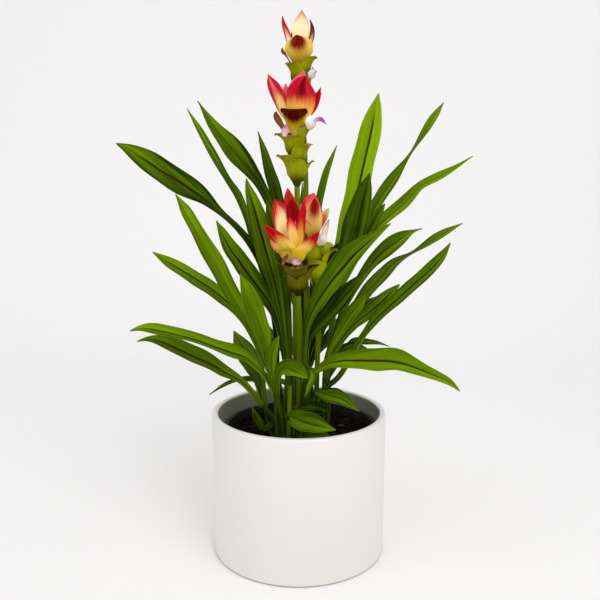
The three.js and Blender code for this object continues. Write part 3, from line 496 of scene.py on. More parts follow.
def bractMaterial(name, glow):
    # alpha holds: base, where the tip's colour starts; tip, how far it runs down the edges;
    # heart, how strong the dark middle line of the tip is; root, how high its colour reaches
    values = bractFinish
    f = Finish(name)
    spot, _, edge, height = f.sheetPlace()
    (base, start), (tip, margin) = f.look("base"), f.look("tip")
    (heart, strong), (root, rise) = f.look("heart"), f.look("root")
    own = f.ownSpot(spot, values["ownSpread"])
    streaks = f.noise(f.stretch(own, *values["streaks"]), 1, 4, 0.6)
    fine = f.noise(f.stretch(own, *values["fine"]), 1, 2)
    patches = f.noise(f.coords, values["patches"], 2)
    reach = f.total(
        f.math("SUBTRACT", height, start),
        f.times(f.math("POWER", edge, values["edgePower"]), margin),
        f.scaled(streaks, *values["streakReach"]),
        f.scaled(fine, *values["fineReach"]))
    rise = f.times(rise, f.scaled(edge, *values["rootReach"]))
    colour = f.mix(f.step(f.math("DIVIDE", height, rise), 0, 1), root, base)
    tip = f.mix(f.step(fine, *values["tipFlecks"]), tip, base)
    colour = f.mix(f.step(reach, *values["tipStep"]), colour, tip)
    middle = f.times(f.step(edge, *values["heartWidth"]), f.step(reach, *values["heartStep"]))
    colour = f.mix(f.times(middle, strong), colour, heart)
    colour = f.shade(colour, f.step(streaks, *values["streakShade"]))
    relief = f.math("ADD", streaks, f.times(patches, values["patchRelief"]))
    return f.done(colour, values["roughness"], values["specular"], f.bump(relief, values["streakDepth"]),
                  Subsurface_Weight=glow, Subsurface_Scale=values["glowDepth"])


leafGreen = leafMaterial()
# the stem greens are partly painted shade: darker than a stalk's own green, for the deep shadow among the
# stalks at the base
stemGreen = stemMaterial("stem", paint(76, 92, 4), paint(48, 70, 0))
scapeGreen = stemMaterial("scape", paint(58, 76, 2), paint(106, 124, 2))
bractGreen = bractMaterial("bract-green", 0.03)
bractRed = bractMaterial("bract-red", 0.05)
flowerPale = bractMaterial("flower", 0.2)
print("plant materials made")

# Cover pot
potValues = {
    "radius": 100, "footRadius": 99.3, "height": 164.5, "wall": 7.4, "floor": 9,
    "edge": 2.6, "edgeSteps": 6, "sides": 160,
    "glaze": paint(227, 225, 222),
    "shade": paint(222, 219, 216),
    # painted shade: the bore's wall is the same white glaze, coloured grey-green for the shadow inside the
    # pot
    "inner": paint(150, 149, 134),
    "boreShadeFrom": (10, 14), "boreShadeBlend": 1.2,  # painted shade on the bore's wall starts above the floor
    "clayAndShadow": paint(128, 112, 98),
    "footBandTop": 1.2, "footBandBlend": 0.5, "footBandWobble": 0.6,  # the foot band ends this far up: partly bare clay, partly painted shadow where the pot meets the floor
    "clouds": 9, "grain": 420, "grainDepth": 0.05,
    "roughness": 0.34, "roughSwing": 0.1, "specular": 0.45,
}


def glazeMaterial():
    values = potValues
    f = Finish("glaze")
    up = f.node("ShaderNodeSeparateXYZ", {"Vector": f.coords}).outputs[2]
    clouds = f.noise(f.coords, values["clouds"], 2)
    grain = f.noise(f.coords, values["grain"], 3)
    colour = f.mix(clouds, values["glaze"], values["shade"])
    # the foot band: the bare clay of the foot and a painted contact shadow under the pot
    foot = f.scaled(clouds, values["footBandWobble"] * mm, up)
    bare = f.step(foot, (values["footBandTop"] + values["footBandBlend"]) * mm, values["footBandTop"] * mm)
    colour = f.mix(bare, colour, values["clayAndShadow"])
    # painted shade on the wall inside the pot, from a little above its floor
    bore = (values["radius"] - values["wall"]) * mm
    low, high = values["boreShadeFrom"]
    within = f.step(f.away(), bore + values["boreShadeBlend"] * mm, bore)
    colour = f.mix(f.times(within, f.step(up, low * mm, high * mm)), colour, values["inner"])
    rough = f.rough(grain, values["roughness"], values["roughSwing"])
    return f.done(colour, rough, values["specular"], f.bump(grain, values["grainDepth"]))


def makeCoverPot():
    values = potValues
    high = values["height"] * mm
    pot = addCone(values["sides"], values["footRadius"] * mm, values["radius"] * mm, 0, high)
    pickFaces(pot, lambda middle, normal: normal.z > facesUp)
    bpy.ops.mesh.inset(thickness=values["wall"] * mm)
    drop = values["floor"] * mm - high
    bpy.ops.mesh.extrude_region_move(TRANSFORM_OT_translate={"value": (0, 0, drop)})
    bpy.ops.object.mode_set(mode="OBJECT")
    roundEdges(pot, values["edge"], values["edgeSteps"])
    finishPiece("cover-pot", [pot], glazeMaterial(), "cover_pot", 30)


# Grow pot
growValues = {
    "x": 2, "y": 2, "rim": 86, "foot": 70, "bottom": 9.3, "top": 147, "wall": 1.6,
    "bead": 2.2, "beadDepth": 8, "edge": 0.5, "edgeSteps": 3, "sides": 128,
    "plastic": paint(8, 8, 8),
    "worn": paint(30, 29, 28),
    "clouds": 40, "wornStep": (0.5, 0.75), "grain": 700, "grainDepth": 0.08,
    "roughness": 0.5, "roughSwing": 0.2, "specular": 0.4,
}


def plasticMaterial():
    values = growValues
    f = Finish("black-plastic")
    clouds = f.noise(f.coords, values["clouds"], 3)
    grain = f.noise(f.coords, values["grain"], 2)
    colour = f.mix(f.step(clouds, *values["wornStep"]), values["plastic"], values["worn"])
    rough = f.rough(clouds, values["roughness"], values["roughSwing"])
    return f.done(colour, rough, values["specular"], f.bump(grain, values["grainDepth"]))


def makeGrowPot():
    values = growValues
    low, high = values["bottom"] * mm, values["top"] * mm
    centre = Vector((values["x"] * mm, values["y"] * mm, high))
    pot = addCone(values["sides"], values["foot"] * mm, values["rim"] * mm, low, high, centre.x, centre.y)
    bpy.ops.object.mode_set(mode="EDIT")
    bpy.ops.mesh.select_all(action="SELECT")
    beadFoot, inner = high - values["beadDepth"] * mm, values["foot"] * mm / 2
    bpy.ops.mesh.bisect(plane_co=(0, 0, beadFoot), plane_no=(0, 0, 1))
    pickFaces(pot, lambda middle, normal: middle.z > beadFoot and abs(normal.z) < facesOut)
    bpy.ops.mesh.extrude_region_shrink_fatten(TRANSFORM_OT_shrink_fatten={"value": values["bead"] * mm})
    pickFaces(pot, lambda middle, normal: normal.z > facesUp and (middle - centre).length < inner)
    bpy.ops.mesh.inset(thickness=values["wall"] * mm)
    drop = low + values["wall"] * mm - high
    bpy.ops.mesh.extrude_region_move(TRANSFORM_OT_translate={"value": (0, 0, drop)})
    narrow = (values["foot"] - values["wall"]) / (values["rim"] - values["wall"])
    bpy.ops.transform.resize(value=(narrow, narrow, 1), center_override=centre)
    bpy.ops.object.mode_set(mode="OBJECT")
    roundEdges(pot, values["edge"], values["edgeSteps"])
    finishPiece("grow-pot", [pot], plasticMaterial(), "grow_pot", 40)


# Soil, with loose crumbs and bits of bark
soilValues = {
    "top": 137, "bottom": 11.3, "radius": 83, "bottomRadius": 68, "cells": 110,
    "rim": 0.5, "rimSlope": 12,  # how far the bed is down at its rim, and how soon it is up again
    "lump": 1.8, "swells": [(0.6, 0.21, 1, 0.17, 0), (0.4, 0.47, 0, 0.39, 2)],  # share, rates and starts
    "fineLump": 1.3, "fineSizes": [(1, 0, 0.16), (0.5, 7, 0.45)],  # share, layer and scale of the noise
    "crumbs": 1500, "crumbSize": (0.6, 2.4), "smallMany": 2.5, "crumbSeat": 0.25, "crumbTilt": 0.5,
    "crumbWidth": (0.6, 1), "crumbHeight": (0.5, 0.9), "crumbRough": 0.35,
    "barkShare": 0.12, "barkShape": (2.2, 0.8, 0.5),
    "barkLight": 0.09, "crumbLight": 0.045, "paleFew": 4, "tint": (1, 0.68, 0.42),
    "keepOff": 1.5, "keepIn": 2, "seed": 11,
    "dark": paint(11, 8, 5),
    "light": paint(52, 36, 22),
    "clods": 130, "clodStep": (0.45, 0.8, 0, 0.5), "fine": 900, "fineShare": 0.5, "clodDepth": 1.2,
    "roughness": 0.92, "specular": 0.05,
}


def soilHeight(x, y):
    # broad lumps, with finer ones on them
    values = soilValues
    across, back = x - growValues["x"], y - growValues["y"]
    broad = sum(share * (math.sin(across * fx + px) * math.sin(back * fy + py))
                for share, fx, px, fy, py in values["swells"])
    fine = sum(share * noise.noise(Vector((x, y, layer)) * scale)
               for share, layer, scale in values["fineSizes"])
    return values["top"] + values["lump"] * broad + values["fineLump"] * fine


def soilMaterial():
    # the tone lightens single crumbs
    values = soilValues
    f = Finish("soil")
    tone = f.look("tone")[0]
    clods = f.noise(f.coords, values["clods"], 5, 0.7)
    fine = f.noise(f.coords, values["fine"], 3)
    colour = f.mix(f.step(clods, *values["clodStep"]), values["dark"], values["light"])
    colour = f.mix(1.0, colour, tone, "ADD")
    relief = f.total(clods, f.times(fine, values["fineShare"]))
    return f.done(colour, values["roughness"], values["specular"], f.bump(relief, values["clodDepth"]))


def makeSoil(material):
    values = soilValues
    centre = Vector((growValues["x"], growValues["y"], 0))
    rim = values["top"] - values["rim"]
    top = newGrid("soil-bed", values["cells"], values["cells"])
    for vertex in top.data.vertices:
        x, y = vertex.co.x, vertex.co.y
        far = max(abs(x), abs(y))
        scale = values["radius"] * far / math.hypot(x, y) if far else 0
        x, y = scale * x + centre.x, scale * y + centre.y
        height = lerp(rim, soilHeight(x, y), clamp((1 - far) * values["rimSlope"]))
        vertex.co = Vector((x, y, height)) * mm
    bpy.ops.object.mode_set(mode="EDIT")
    bpy.ops.mesh.select_mode(type="EDGE")
    bpy.ops.mesh.select_all(action="DESELECT")
    bpy.ops.mesh.select_non_manifold()
    depth = (values["bottom"] - rim) * mm
    bpy.ops.mesh.extrude_region_move(TRANSFORM_OT_translate={"value": (0, 0, depth)})
    narrow = values["bottomRadius"] / values["radius"]
    bpy.ops.transform.resize(value=(narrow, narrow, 1), center_override=centre * mm)
    bpy.ops.mesh.edge_face_add()
    bpy.ops.object.mode_set(mode="OBJECT")
    setLook(top, {"tone": (0, 0, 0, 1)})
    finishPiece("soil-bed", [top], material, "soil")


def makeCrumbs(material, feet):
    # feet are the stems' [x, y, reach], where no crumb lies
    values = soilValues
    chance = random.Random(values["seed"])
    deselectAll()
    bpy.ops.mesh.primitive_ico_sphere_add(subdivisions=1, radius=1)
    seed = bpy.context.object
    corners = [v.co.copy() for v in seed.data.vertices]
    faces = [tuple(face.vertices) for face in seed.data.polygons]
    bpy.data.objects.remove(seed)
    points, shells, tones = [], [], []
    for i in range(values["crumbs"]):
        angle = chance.uniform(0, 2 * math.pi)
        far = (values["radius"] - values["keepIn"]) * math.sqrt(chance.random())
        x, y = growValues["x"] + far * math.cos(angle), growValues["y"] + far * math.sin(angle)
        size = lerp(*values["crumbSize"], chance.random() ** values["smallMany"])
        bark = chance.random() < values["barkShare"]
        shape = values["barkShape"] if bark else (
            1, chance.uniform(*values["crumbWidth"]), chance.uniform(*values["crumbHeight"]))
        spin = Matrix.Rotation(chance.uniform(*anyPhase), 3, "Z")
        spin = spin @ Matrix.Rotation(chance.uniform(-values["crumbTilt"], values["crumbTilt"]), 3, "X")
        light = chance.random() ** values["paleFew"] * values["barkLight" if bark else "crumbLight"]
        if any(math.hypot(x - fx, y - fy) < reach + values["keepOff"] for fx, fy, reach in feet):
            continue
        middle = Vector((x, y, soilHeight(x, y) + values["crumbSeat"] * size))
        first = len(points)
        for corner in corners:
            rough = 1 + values["crumbRough"] * chance.uniform(-1, 1)
            shaped = Vector([c * k * size * rough for c, k in zip(corner, shape)])
            points.append((middle + spin @ shaped) * mm)
        shells += [tuple(first + k for k in face) for face in faces]
        tones += [*(k * light for k in values["tint"]), 1] * len(corners)
    mesh = bpy.data.meshes.new("crumbs")
    mesh.from_pydata(points, [], shells)
    crumbs = bpy.data.objects.new("crumbs", mesh)
    bpy.context.scene.collection.objects.link(crumbs)
    mesh.attributes.new("tone", "FLOAT_COLOR", "POINT").data.foreach_set("color", tones)
    finishPiece("soil-crumbs", [crumbs], material, None, 30)


# Leafy shoots. foot is [x, y] in the soil, neck is [across, up, behind] and girth the radii at both.
# A leaf is [start, fold, tone, ...path]: start is where it leaves the shoot, and a path point is
# [across, up, behind, turn, width], with the width as it is seen from the front.
bladeValues = {
    "petiole": 5, "petioleDepth": 3, "thickness": 0.8, "tip": 0.5, "leastSeen": 0.42,
    "bladeFrom": 0.5,  # a leaf is no petiole past this share of its length
    "columns": 8, "rowLength": 7, "leastRows": 14, "foldRound": 0.012,
    "waves": 3.2, "waveSpread": (0.7, 1.3), "waveHeight": 0.9, "fullWave": 9, "waveLag": 1.9,
    "ripple": 0.07, "rippleRate": 3.6, "rippleLag": 2.6, "seed": 4,
}
leafTones = {
    # bright, fresh, striped, grey
    # the bright column is partly painted light: dark and deep tones stand partly for leaves in shade,
    # bright and lime ones for leaves lit from behind
    "dark": (-0.15, 0.0, 0.5, 0.0),
    "deep": (0.24, 0.0, 0.6, 0.0),
    "deepStripe": (0.16, 0.0, 0.9, 0.0),
    "mid": (0.42, 0.0, 0.7, 0.0),
    "midStripe": (0.48, 0.02, 1.0, 0.0),
    "bright": (0.62, 0.05, 0.5, 0.0),
    "brightStripe": (0.8, 0.08, 0.95, 0.0),
    "fresh": (0.55, 0.12, 0.1, 0.0),
    "lime": (1.2, 0.8, 0.95, 0.0),
    "olive": (0.8, 0.22, 0.6, 0.0),
    "grey": (0.42, 0.04, 0.6, 0.14),
}
shoots = {
    "shoot_outer_left": {
        "foot": (-25, -14), "neck": (-40, -118, -17), "girth": (3.4, 2.6),
        "leaves": [
            [0.92, 20, "brightStripe", [-44, -114, -22, 20, 5], [-56, -98, -31, 35, 5],
             [-66, -89, -37, 45, 6.5], [-80, -81, -43, 50, 11], [-94, -72, -48, 50, 16],
             [-110, -64, -54, 48, 18], [-130, -55.5, -60, 46, 17], [-148, -47.5, -66, 45, 14],
             [-162, -43.5, -69, 43, 9], [-173, -43.5, -71, 40, 4], [-183, -46.5, -72, 40, 0]],
            [0.9, 20, "deep", [-44, -98, -4, 40, 4.5], [-49, -88, 6, 55, 4.5], [-58, -87, 10, 60, 5],
             [-70, -89.5, 13, 60, 4.5], [-84, -95, 15, 60, 4], [-102, -107, 16, 50, 0]],
            [0.3, 20, "deep", [-38, -146, -20, 0, 6], [-44, -140, -24, 10, 9], [-48, -132, -27, 20, 8],
             [-52.5, -120.5, -30, 20, 0]],
            [0.9, -18, "grey", [-41, -98, -6, 0, 8], [-46, -84, -4, 0, 18], [-54, -68, 0, 10, 24],
             [-63, -54, 4, 15, 22], [-69, -43, 7, 20, 12], [-73.5, -34.5, 8, 20, 0]],
        ],
    },
    "shoot_front_left": {
        "foot": (-17, -30), "neck": (-26, -104, -40), "girth": (3.4, 2.6),
        "leaves": [
            [0.9, 20, "brightStripe", [-33, -91, -42, 20, 5], [-41, -80, -46, 30, 5.5],
             [-51, -70, -50, 45, 7], [-61, -62, -54, 52, 10], [-72, -57, -60, 58, 13.5],
             [-98, -48.5, -69, 58, 12], [-120, -41, -75, 56, 11], [-148, -34.5, -82, 52, 10.5],
             [-162, -31.5, -85, 50, 11.5], [-174, -30.5, -88, 45, 8], [-184, -32, -89, 42, 3.5],
             [-191, -35, -90, 40, 0]],
            [0.85, 20, "bright", [-29, -90, -52, 0, 7], [-31, -76, -55, 5, 10], [-31, -62, -59, 15, 12.5],
             [-27, -50, -62, 25, 8], [-22.5, -40, -66, 30, 0]],
            [0.96, 20, "fresh", [-34, -76, -48, 0, 5], [-37, -60, -54, 5, 7], [-38, -46, -60, 10, 13],
             [-42, -32, -66, 15, 18], [-48, -16, -73, 20, 20], [-54, 0, -82, 25, 18],
             [-60, 14, -90, 30, 12], [-66, 29, -98, 35, 0]],
            [0.9, 25, "bright", [-24, -88, -54, 0, 5], [-22, -80, -60, 10, 12], [-15, -75.5, -68, 25, 17],
             [-5, -77.5, -78, 35, 17], [4, -83, -87, 35, 9], [10, -88, -92, 35, 0]],
        ],
    },
    "shoot_left": {
        "foot": (-10, -12), "neck": (-14, -72, -14), "girth": (3.4, 2.6),
        "leaves": [
            [0.96, 16, "midStripe", [-15, -50, -16, 0, 5], [-18.5, -22, -18, 8, 8], [-23, 5, -18, 14, 13],
             [-30, 34, -17, 20, 19.5], [-38, 64, -15, 26, 24], [-46, 92, -17, 30, 20.5],
             [-53, 115, -21, 32, 13], [-57, 127, -24, 33, 7], [-59, 137.5, -26, 34, 0]],
            [0.9, 18, "midStripe", [-19, -50, -8, 0, 5], [-23, -26, 0, 8, 7], [-30, -8, 2, 14, 13],
             [-40, 8, 2, 18, 20], [-52, 24, 2, 22, 20.5], [-65, 43, -3, 25, 19.5], [-77, 59, -10, 27, 16.5],
             [-86, 76, -17, 29, 10], [-93, 90, -22, 30, 0]],
            [0.7, 16, "fresh", [-29, -86, -20, 0, 5], [-42, -60, -26, 8, 6.5], [-53, -34, -31, 16, 10],
             [-64, -12, -36, 20, 14.5], [-76, 9, -40, 22, 17], [-97, 48, -49, 25, 17.5],
             [-107, 66, -53, 27, 15.5], [-117, 83, -57, 28, 13], [-128, 102, -61, 29, 11],
             [-139, 120, -64, 30, 0]],
        ],
    },
    "shoot_back_left": {
        "foot": (-22, 12), "neck": (-25, -70, 14), "girth": (3.4, 2.6),
        "leaves": [
            [0.9, 14, "deepStripe", [-27, -30, 14, 0, 5], [-36, 20, 16, 15, 6], [-45, 48, 16, 30, 7.5],
             [-57, 69, 16, 45, 8], [-70, 83, 16, 55, 7.5], [-82, 94, 14, 45, 6.5], [-92, 103, 13, 35, 8.5],
             [-106, 115.5, 11, 25, 16], [-120, 125, 8, 22, 23], [-136, 135, 4, 20, 26.5],
             [-154, 146, -1, 20, 25.5], [-170, 157, -6, 22, 23.5], [-186, 167, -11, 25, 16],
             [-197, 173, -14, 25, 8], [-206.5, 177, -16, 25, 0]],
            [0.7, 18, "brightStripe", [-34, -73, 8, 0, 5], [-48, -46, 4, 12, 6], [-63, -20, 0, 20, 9],
             [-80, -2, -4, 20, 13.5], [-97, 12, -8, 20, 15.5], [-115, 24, -12, 20, 15.5],
             [-133, 35, -15, 20, 14], [-150, 45, -18, 20, 10.5], [-165, 54.5, -20, 20, 0]],
            [0.96, 20, "mid", [-26, -20, 26, 0, 5], [-37, 20, 32, 20, 5.5], [-46, 55, 37, 40, 6.5],
             [-55, 84, 43, 50, 8], [-69, 120, 51, 55, 9], [-77, 131.5, 55, 55, 7], [-84, 143, 58, 55, 7],
             [-94, 162, 63, 58, 9.5], [-104, 179, 68, 60, 8.5], [-113, 195, 73, 60, 6.5],
             [-126, 216.5, 80, 60, 0]],
        ],
    },
    "shoot_rear_left": {
        "foot": (-8, 34), "neck": (-10, -66, 40), "girth": (3.4, 2.6),
        "leaves": [
            [0.9, 16, "deep", [-11, -20, 46, 0, 5], [-15, 30, 56, 6, 7], [-21, 75, 66, 13, 9],
             [-31, 107, 78, 20, 11], [-43, 130, 86, 23, 13], [-53, 144, 92, 25, 17.5],
             [-63, 157.5, 98, 27, 23.5], [-73, 170, 104, 28, 25.5], [-82, 181, 109, 29, 21.5],
             [-92, 192.5, 115, 30, 15.5], [-101, 204.5, 121, 30, 10], [-114, 225, 128, 30, 0]],
            [0.96, 16, "deepStripe", [-11, -20, 54, 0, 5], [-13, 40, 72, 12, 8], [-18, 85, 92, 24, 12.5],
             [-24, 115, 104, 30, 15], [-30, 137, 114, 33, 15], [-36, 158, 123, 35, 11.5],
             [-41, 175, 130, 35, 6.5], [-46, 191, 136, 35, 0]],
            [0.8, 16, "mid", [-14, -20, 36, 0, 5], [-21, 50, 34, 20, 12], [-28, 82, 29, 28, 15],
             [-33, 100, 25, 30, 9], [-36, 114, 22, 30, 0]],
        ],
    },
    "shoot_front": {
        "foot": (1, -37), "neck": (-4, -120, -40), "girth": (3.2, 2.5),
        "leaves": [
            [0.5, 14, "mid", [-13, -132, -58, 10, 6], [-7, -131, -66, 25, 15], [4, -135, -76, 36, 22],
             [16, -139, -83, 36, 20], [29, -143, -86, 33, 12], [42, -146.5, -87, 30, 0]],
            [0.2, 14, "deep", [4, -154, -46, 30, 8], [14, -151, -56, 42, 13], [24, -150.5, -66, 45, 11],
             [34, -152, -74, 45, 0]],
            [0.9, 14, "deep", [6, -120, -30, 30, 5], [18, -119, -28, 40, 9], [32, -126, -30, 40, 0]],
        ],
    },
    "shoot_middle": {
        "foot": (13, -16), "neck": (6, -80, -18), "girth": (3.4, 2.6),
        "leaves": [
            [0.9, 20, "midStripe", [6, -56, -30, 0, 5], [9, -30, -39, 10, 8], [17, -8, -50, 22, 15],
             [27, 11, -60, 32, 20], [37, 26, -67, 38, 23], [47, 38, -73, 41, 24], [58, 51, -80, 43, 21.5],
             [70, 61, -86, 44, 15.5], [83, 71, -92, 44, 9], [95, 80.5, -96, 44, 4.5],
             [104, 87, -98, 44, 0]],
            [0.9, 18, "deep", [9, -50, -14, 0, 5], [14, -38, -17, 12, 9], [25, -22, -21, 26, 17],
             [38, -8, -24, 36, 19.5], [50, 5, -27, 38, 18], [61, 16, -30, 38, 14], [70, 26, -31, 38, 7],
             [77, 33, -32, 38, 0]],
            [0.8, 16, "brightStripe", [12, -84, -30, 10, 6], [24, -76, -40, 28, 8], [36, -70, -49, 38, 12],
             [50, -66.5, -57, 44, 17], [66, -66, -65, 45, 21], [98, -66, -79, 42, 24],
             [114, -68.5, -85, 41, 21.5], [130, -74, -90, 39, 17], [146, -81, -95, 38, 12],
             [160, -87, -99, 38, 9], [172, -93, -102, 38, 6.5], [182, -103, -104, 38, 0]],
            [0.96, 14, "fresh", [13, -78, -30, 0, 5], [17, -86, -38, 10, 8], [12, -98, -42, 10, 6],
             [7, -110, -44, 10, 0]],
        ],
    },
    "shoot_right": {
        "foot": (26, -8), "neck": (29, -92, -6), "girth": (3.4, 2.6),
        "leaves": [
            [0.85, 20, "midStripe", [44, -88, -6, 0, 5], [56, -68, -6, 20, 5], [66, -48, -8, 30, 5.5],
             [75, -35, -9, 32, 6.5], [85, -22, -12, 34, 10], [97, -10, -15, 35, 13], [110, 2, -18, 35, 14],
             [138, 26.5, -24, 35, 13], [151, 38.5, -27, 35, 12.5], [162, 51, -30, 35, 9],
             [171, 65, -32, 35, 0]],
            [0.9, 20, "midStripe", [35, -68, -2, 0, 5], [47, -46, 2, 18, 7], [59, -30, 2, 22, 11],
             [71, -19.5, 2, 25, 14], [84, -9, 1, 28, 15], [96, 2, 0, 30, 14], [106, 11, -1, 30, 9],
             [114, 18, -2, 30, 0]],
            [0.96, 18, "bright", [33, -60, -10, 0, 5], [42, -43, -11, 12, 8], [50, -28, -12, 20, 12],
             [60, -13, -14, 25, 14], [69, -2, -15, 28, 12], [75.5, 7, -16, 30, 0]],
            [0.7, 16, "mid", [21, -108, -22, 0, 5], [16, -102, -30, 20, 5], [24, -104, -38, 32, 10],
             [36, -106.5, -45, 38, 17], [48, -110, -50, 36, 15], [58, -117, -50, 32, 9],
             [69, -126, -48, 30, 0]],
            [0.9, 16, "deep", [40, -72, 6, 0, 5], [44, -62, 8, 20, 10], [54, -54, 10, 35, 13],
             [66, -52, 12, 45, 10], [80, -56, 14, 50, 0]],
        ],
    },
    "shoot_rear": {
        "foot": (9, 22), "neck": (13, -70, 28), "girth": (3.4, 2.6),
        "leaves": [
            [0.96, 14, "lime", [24, -34, 36, 0, 5], [33, 5, 49, 9, 8], [45, 50, 66, 16, 16],
             [55, 85, 80, 22, 23], [63, 115, 93, 27, 27.5], [70, 145, 106, 30, 29], [76, 172, 116, 33, 29],
             [80.5, 193, 124, 34, 27], [84, 209, 130, 35, 20.5], [87.5, 223, 135, 35, 10.5],
             [90, 234, 138, 35, 0]],
            [0.94, 16, "deep", [27, -34, 26, 0, 5], [36, 0, 26, 10, 9], [47, 35, 25, 20, 18],
             [56, 61, 23, 26, 25], [62, 80, 21, 30, 28.5], [67, 98, 19, 32, 27], [71.5, 115, 17, 34, 21.5],
             [76, 130, 14, 35, 13.5], [80, 143.5, 12, 35, 0]],
            [0.96, 16, "dark", [17, -40, 34, 0, 5], [23, 0, 39, 14, 10], [29, 30, 43, 22, 20],
             [40, 50, 44, 28, 22], [50, 61, 44, 30, 12], [56, 68, 44, 30, 0]],
            [0.96, 16, "mid", [15, -30, 40, 0, 4.5], [15, 30, 60, 18, 6], [20, 90, 82, 28, 8],
             [24, 118, 92, 35, 9.5], [30, 143, 100, 38, 8.5], [37, 161, 107, 40, 5], [43, 175, 112, 40, 0]],
            [0.92, 16, "deep", [30, -20, 38, 0, 5], [46, 25, 38, 15, 6], [64, 57, 38, 24, 9],
             [78, 78, 38, 30, 13], [87, 94, 37, 30, 12.5], [93, 103, 36, 30, 7], [97, 109, 36, 30, 0]],
        ],
    },
    "shoot_outer_right": {
        "foot": (30, 26), "neck": (33, -70, 34), "girth": (3.4, 2.6),
        "leaves": [
            [0.96, 20, "olive", [44, 6, 44, 0, 5], [56, 32, 48, 12, 6.5], [70, 57, 51, 22, 9],
             [83, 76, 54, 29, 11], [94, 89, 56, 33, 13], [116, 108.5, 57, 38, 15.5], [126, 119, 57, 41, 13],
             [136, 129, 58, 44, 9.5], [158, 140.5, 58, 47, 9.5], [178, 151, 58, 50, 4.5],
             [188, 157.5, 58, 50, 2], [197, 163, 58, 50, 0]],
            [0.96, 20, "bright", [42, 6, 58, 0, 5], [58, 45, 72, 14, 6.5], [74, 82, 86, 24, 9.5],
             [86, 107, 96, 31, 13.5], [96, 124, 103, 34, 14.5], [106, 137.5, 108, 38, 13],
             [115, 150, 114, 50, 8], [122, 160, 119, 60, 4], [127, 167.5, 122, 65, 2.4],
             [134, 178, 126, 60, 5], [142, 191, 132, 50, 9], [149, 202.5, 136, 40, 10],
             [156, 212.5, 140, 34, 7.5], [163.5, 223.5, 144, 30, 0]],
            [0.9, 16, "mid", [46, -20, 34, 0, 5], [57, 3, 33, 11, 7.5], [67, 21, 32, 19, 10],
             [78, 37, 32, 23, 12.5], [89, 50, 31, 27, 16.5], [101, 60.5, 30, 30, 18.5],
             [112, 68, 29, 30, 17], [121, 74, 28, 30, 11.5], [127.5, 77.5, 28, 30, 4],
             [134, 79.5, 28, 30, 1.5], [140, 81, 28, 30, 0]],
            [0.85, 18, "grey", [50, -30, 24, 0, 5], [60, -12, 23, 12, 9], [72, 4, 22, 20, 13],
             [84, 18, 22, 24, 15], [95, 30, 22, 27, 15], [106, 41.5, 22, 30, 11.5], [117, 48.5, 23, 50, 6],
             [127, 53.5, 24, 65, 2.4], [140, 61.5, 24, 55, 6], [154, 70.5, 24, 35, 9],
             [168, 78.5, 24, 30, 7], [185, 87, 24, 30, 0]],
            [0.7, -18, "deep", [52, -58, 40, 30, 6], [60, -48, 46, 40, 9], [68, -45.5, 51, 50, 10],
             [78, -46.5, 56, 58, 7], [90, -48, 60, 60, 4], [103, -52.5, 66, 60, 0]],
        ],
    },
    "shoot_back": {
        "foot": (0, 58), "neck": (2, -76, 66), "girth": (3.6, 2.8),
        "leaves": [
            [0.9, 16, "deepStripe", [-8, -50, 78, 0, 6], [-20, -20, 104, 20, 20], [-30, 20, 136, 30, 22],
             [-34, 44, 172, 30, 0]],
            [0.96, 16, "mid", [3, -40, 84, 0, 6], [2, 0, 114, 10, 24], [-2, 30, 150, 10, 22],
             [-5, 44, 190, 10, 0]],
            [0.9, 16, "deep", [4, -30, 72, 0, 5], [4, 50, 84, 0, 8], [4, 100, 94, 0, 10],
             [4, 133, 98, 0, 0]],
            [0.9, 16, "deepStripe", [16, -50, 78, 0, 6], [32, -14, 102, 20, 20], [44, 18, 134, 30, 20],
             [54, 40, 170, 30, 0]],
            [0.8, 16, "mid", [-14, -60, 76, 0, 6], [-38, -36, 90, 20, 18], [-60, -16, 112, 35, 18],
             [-84, -4, 140, 35, 0]],
            [0.8, 16, "deepStripe", [20, -60, 76, 0, 6], [42, -34, 90, 20, 18], [66, -10, 110, 35, 18],
             [92, 6, 134, 35, 0]],
        ],
    },
}


stemValues = {
    "points": (-15.6, 4, 14),  # above the soil's top, straight over the foot
    "bare": 24,  # the lowest part, where no leaf starts
    "narrowing": 0.3, "rollTurns": 1.3, "rollPower": 3, "rollSize": (0.94, 0.1), "sides": 24, "rows": 20,
}
stalkValues = {
    "apart": 5, "bow": 2.2, "sunk": 3, "low": 1.9, "high": 1.5, "turn": 2.4, "sides": 10, "rows": 12,
}


def stemFrom(foot, upper):
    x, y = foot
    low = [Vector((x, y, soilValues["top"] + z)) for z in stemValues["points"]]
    return Route(low + upper)


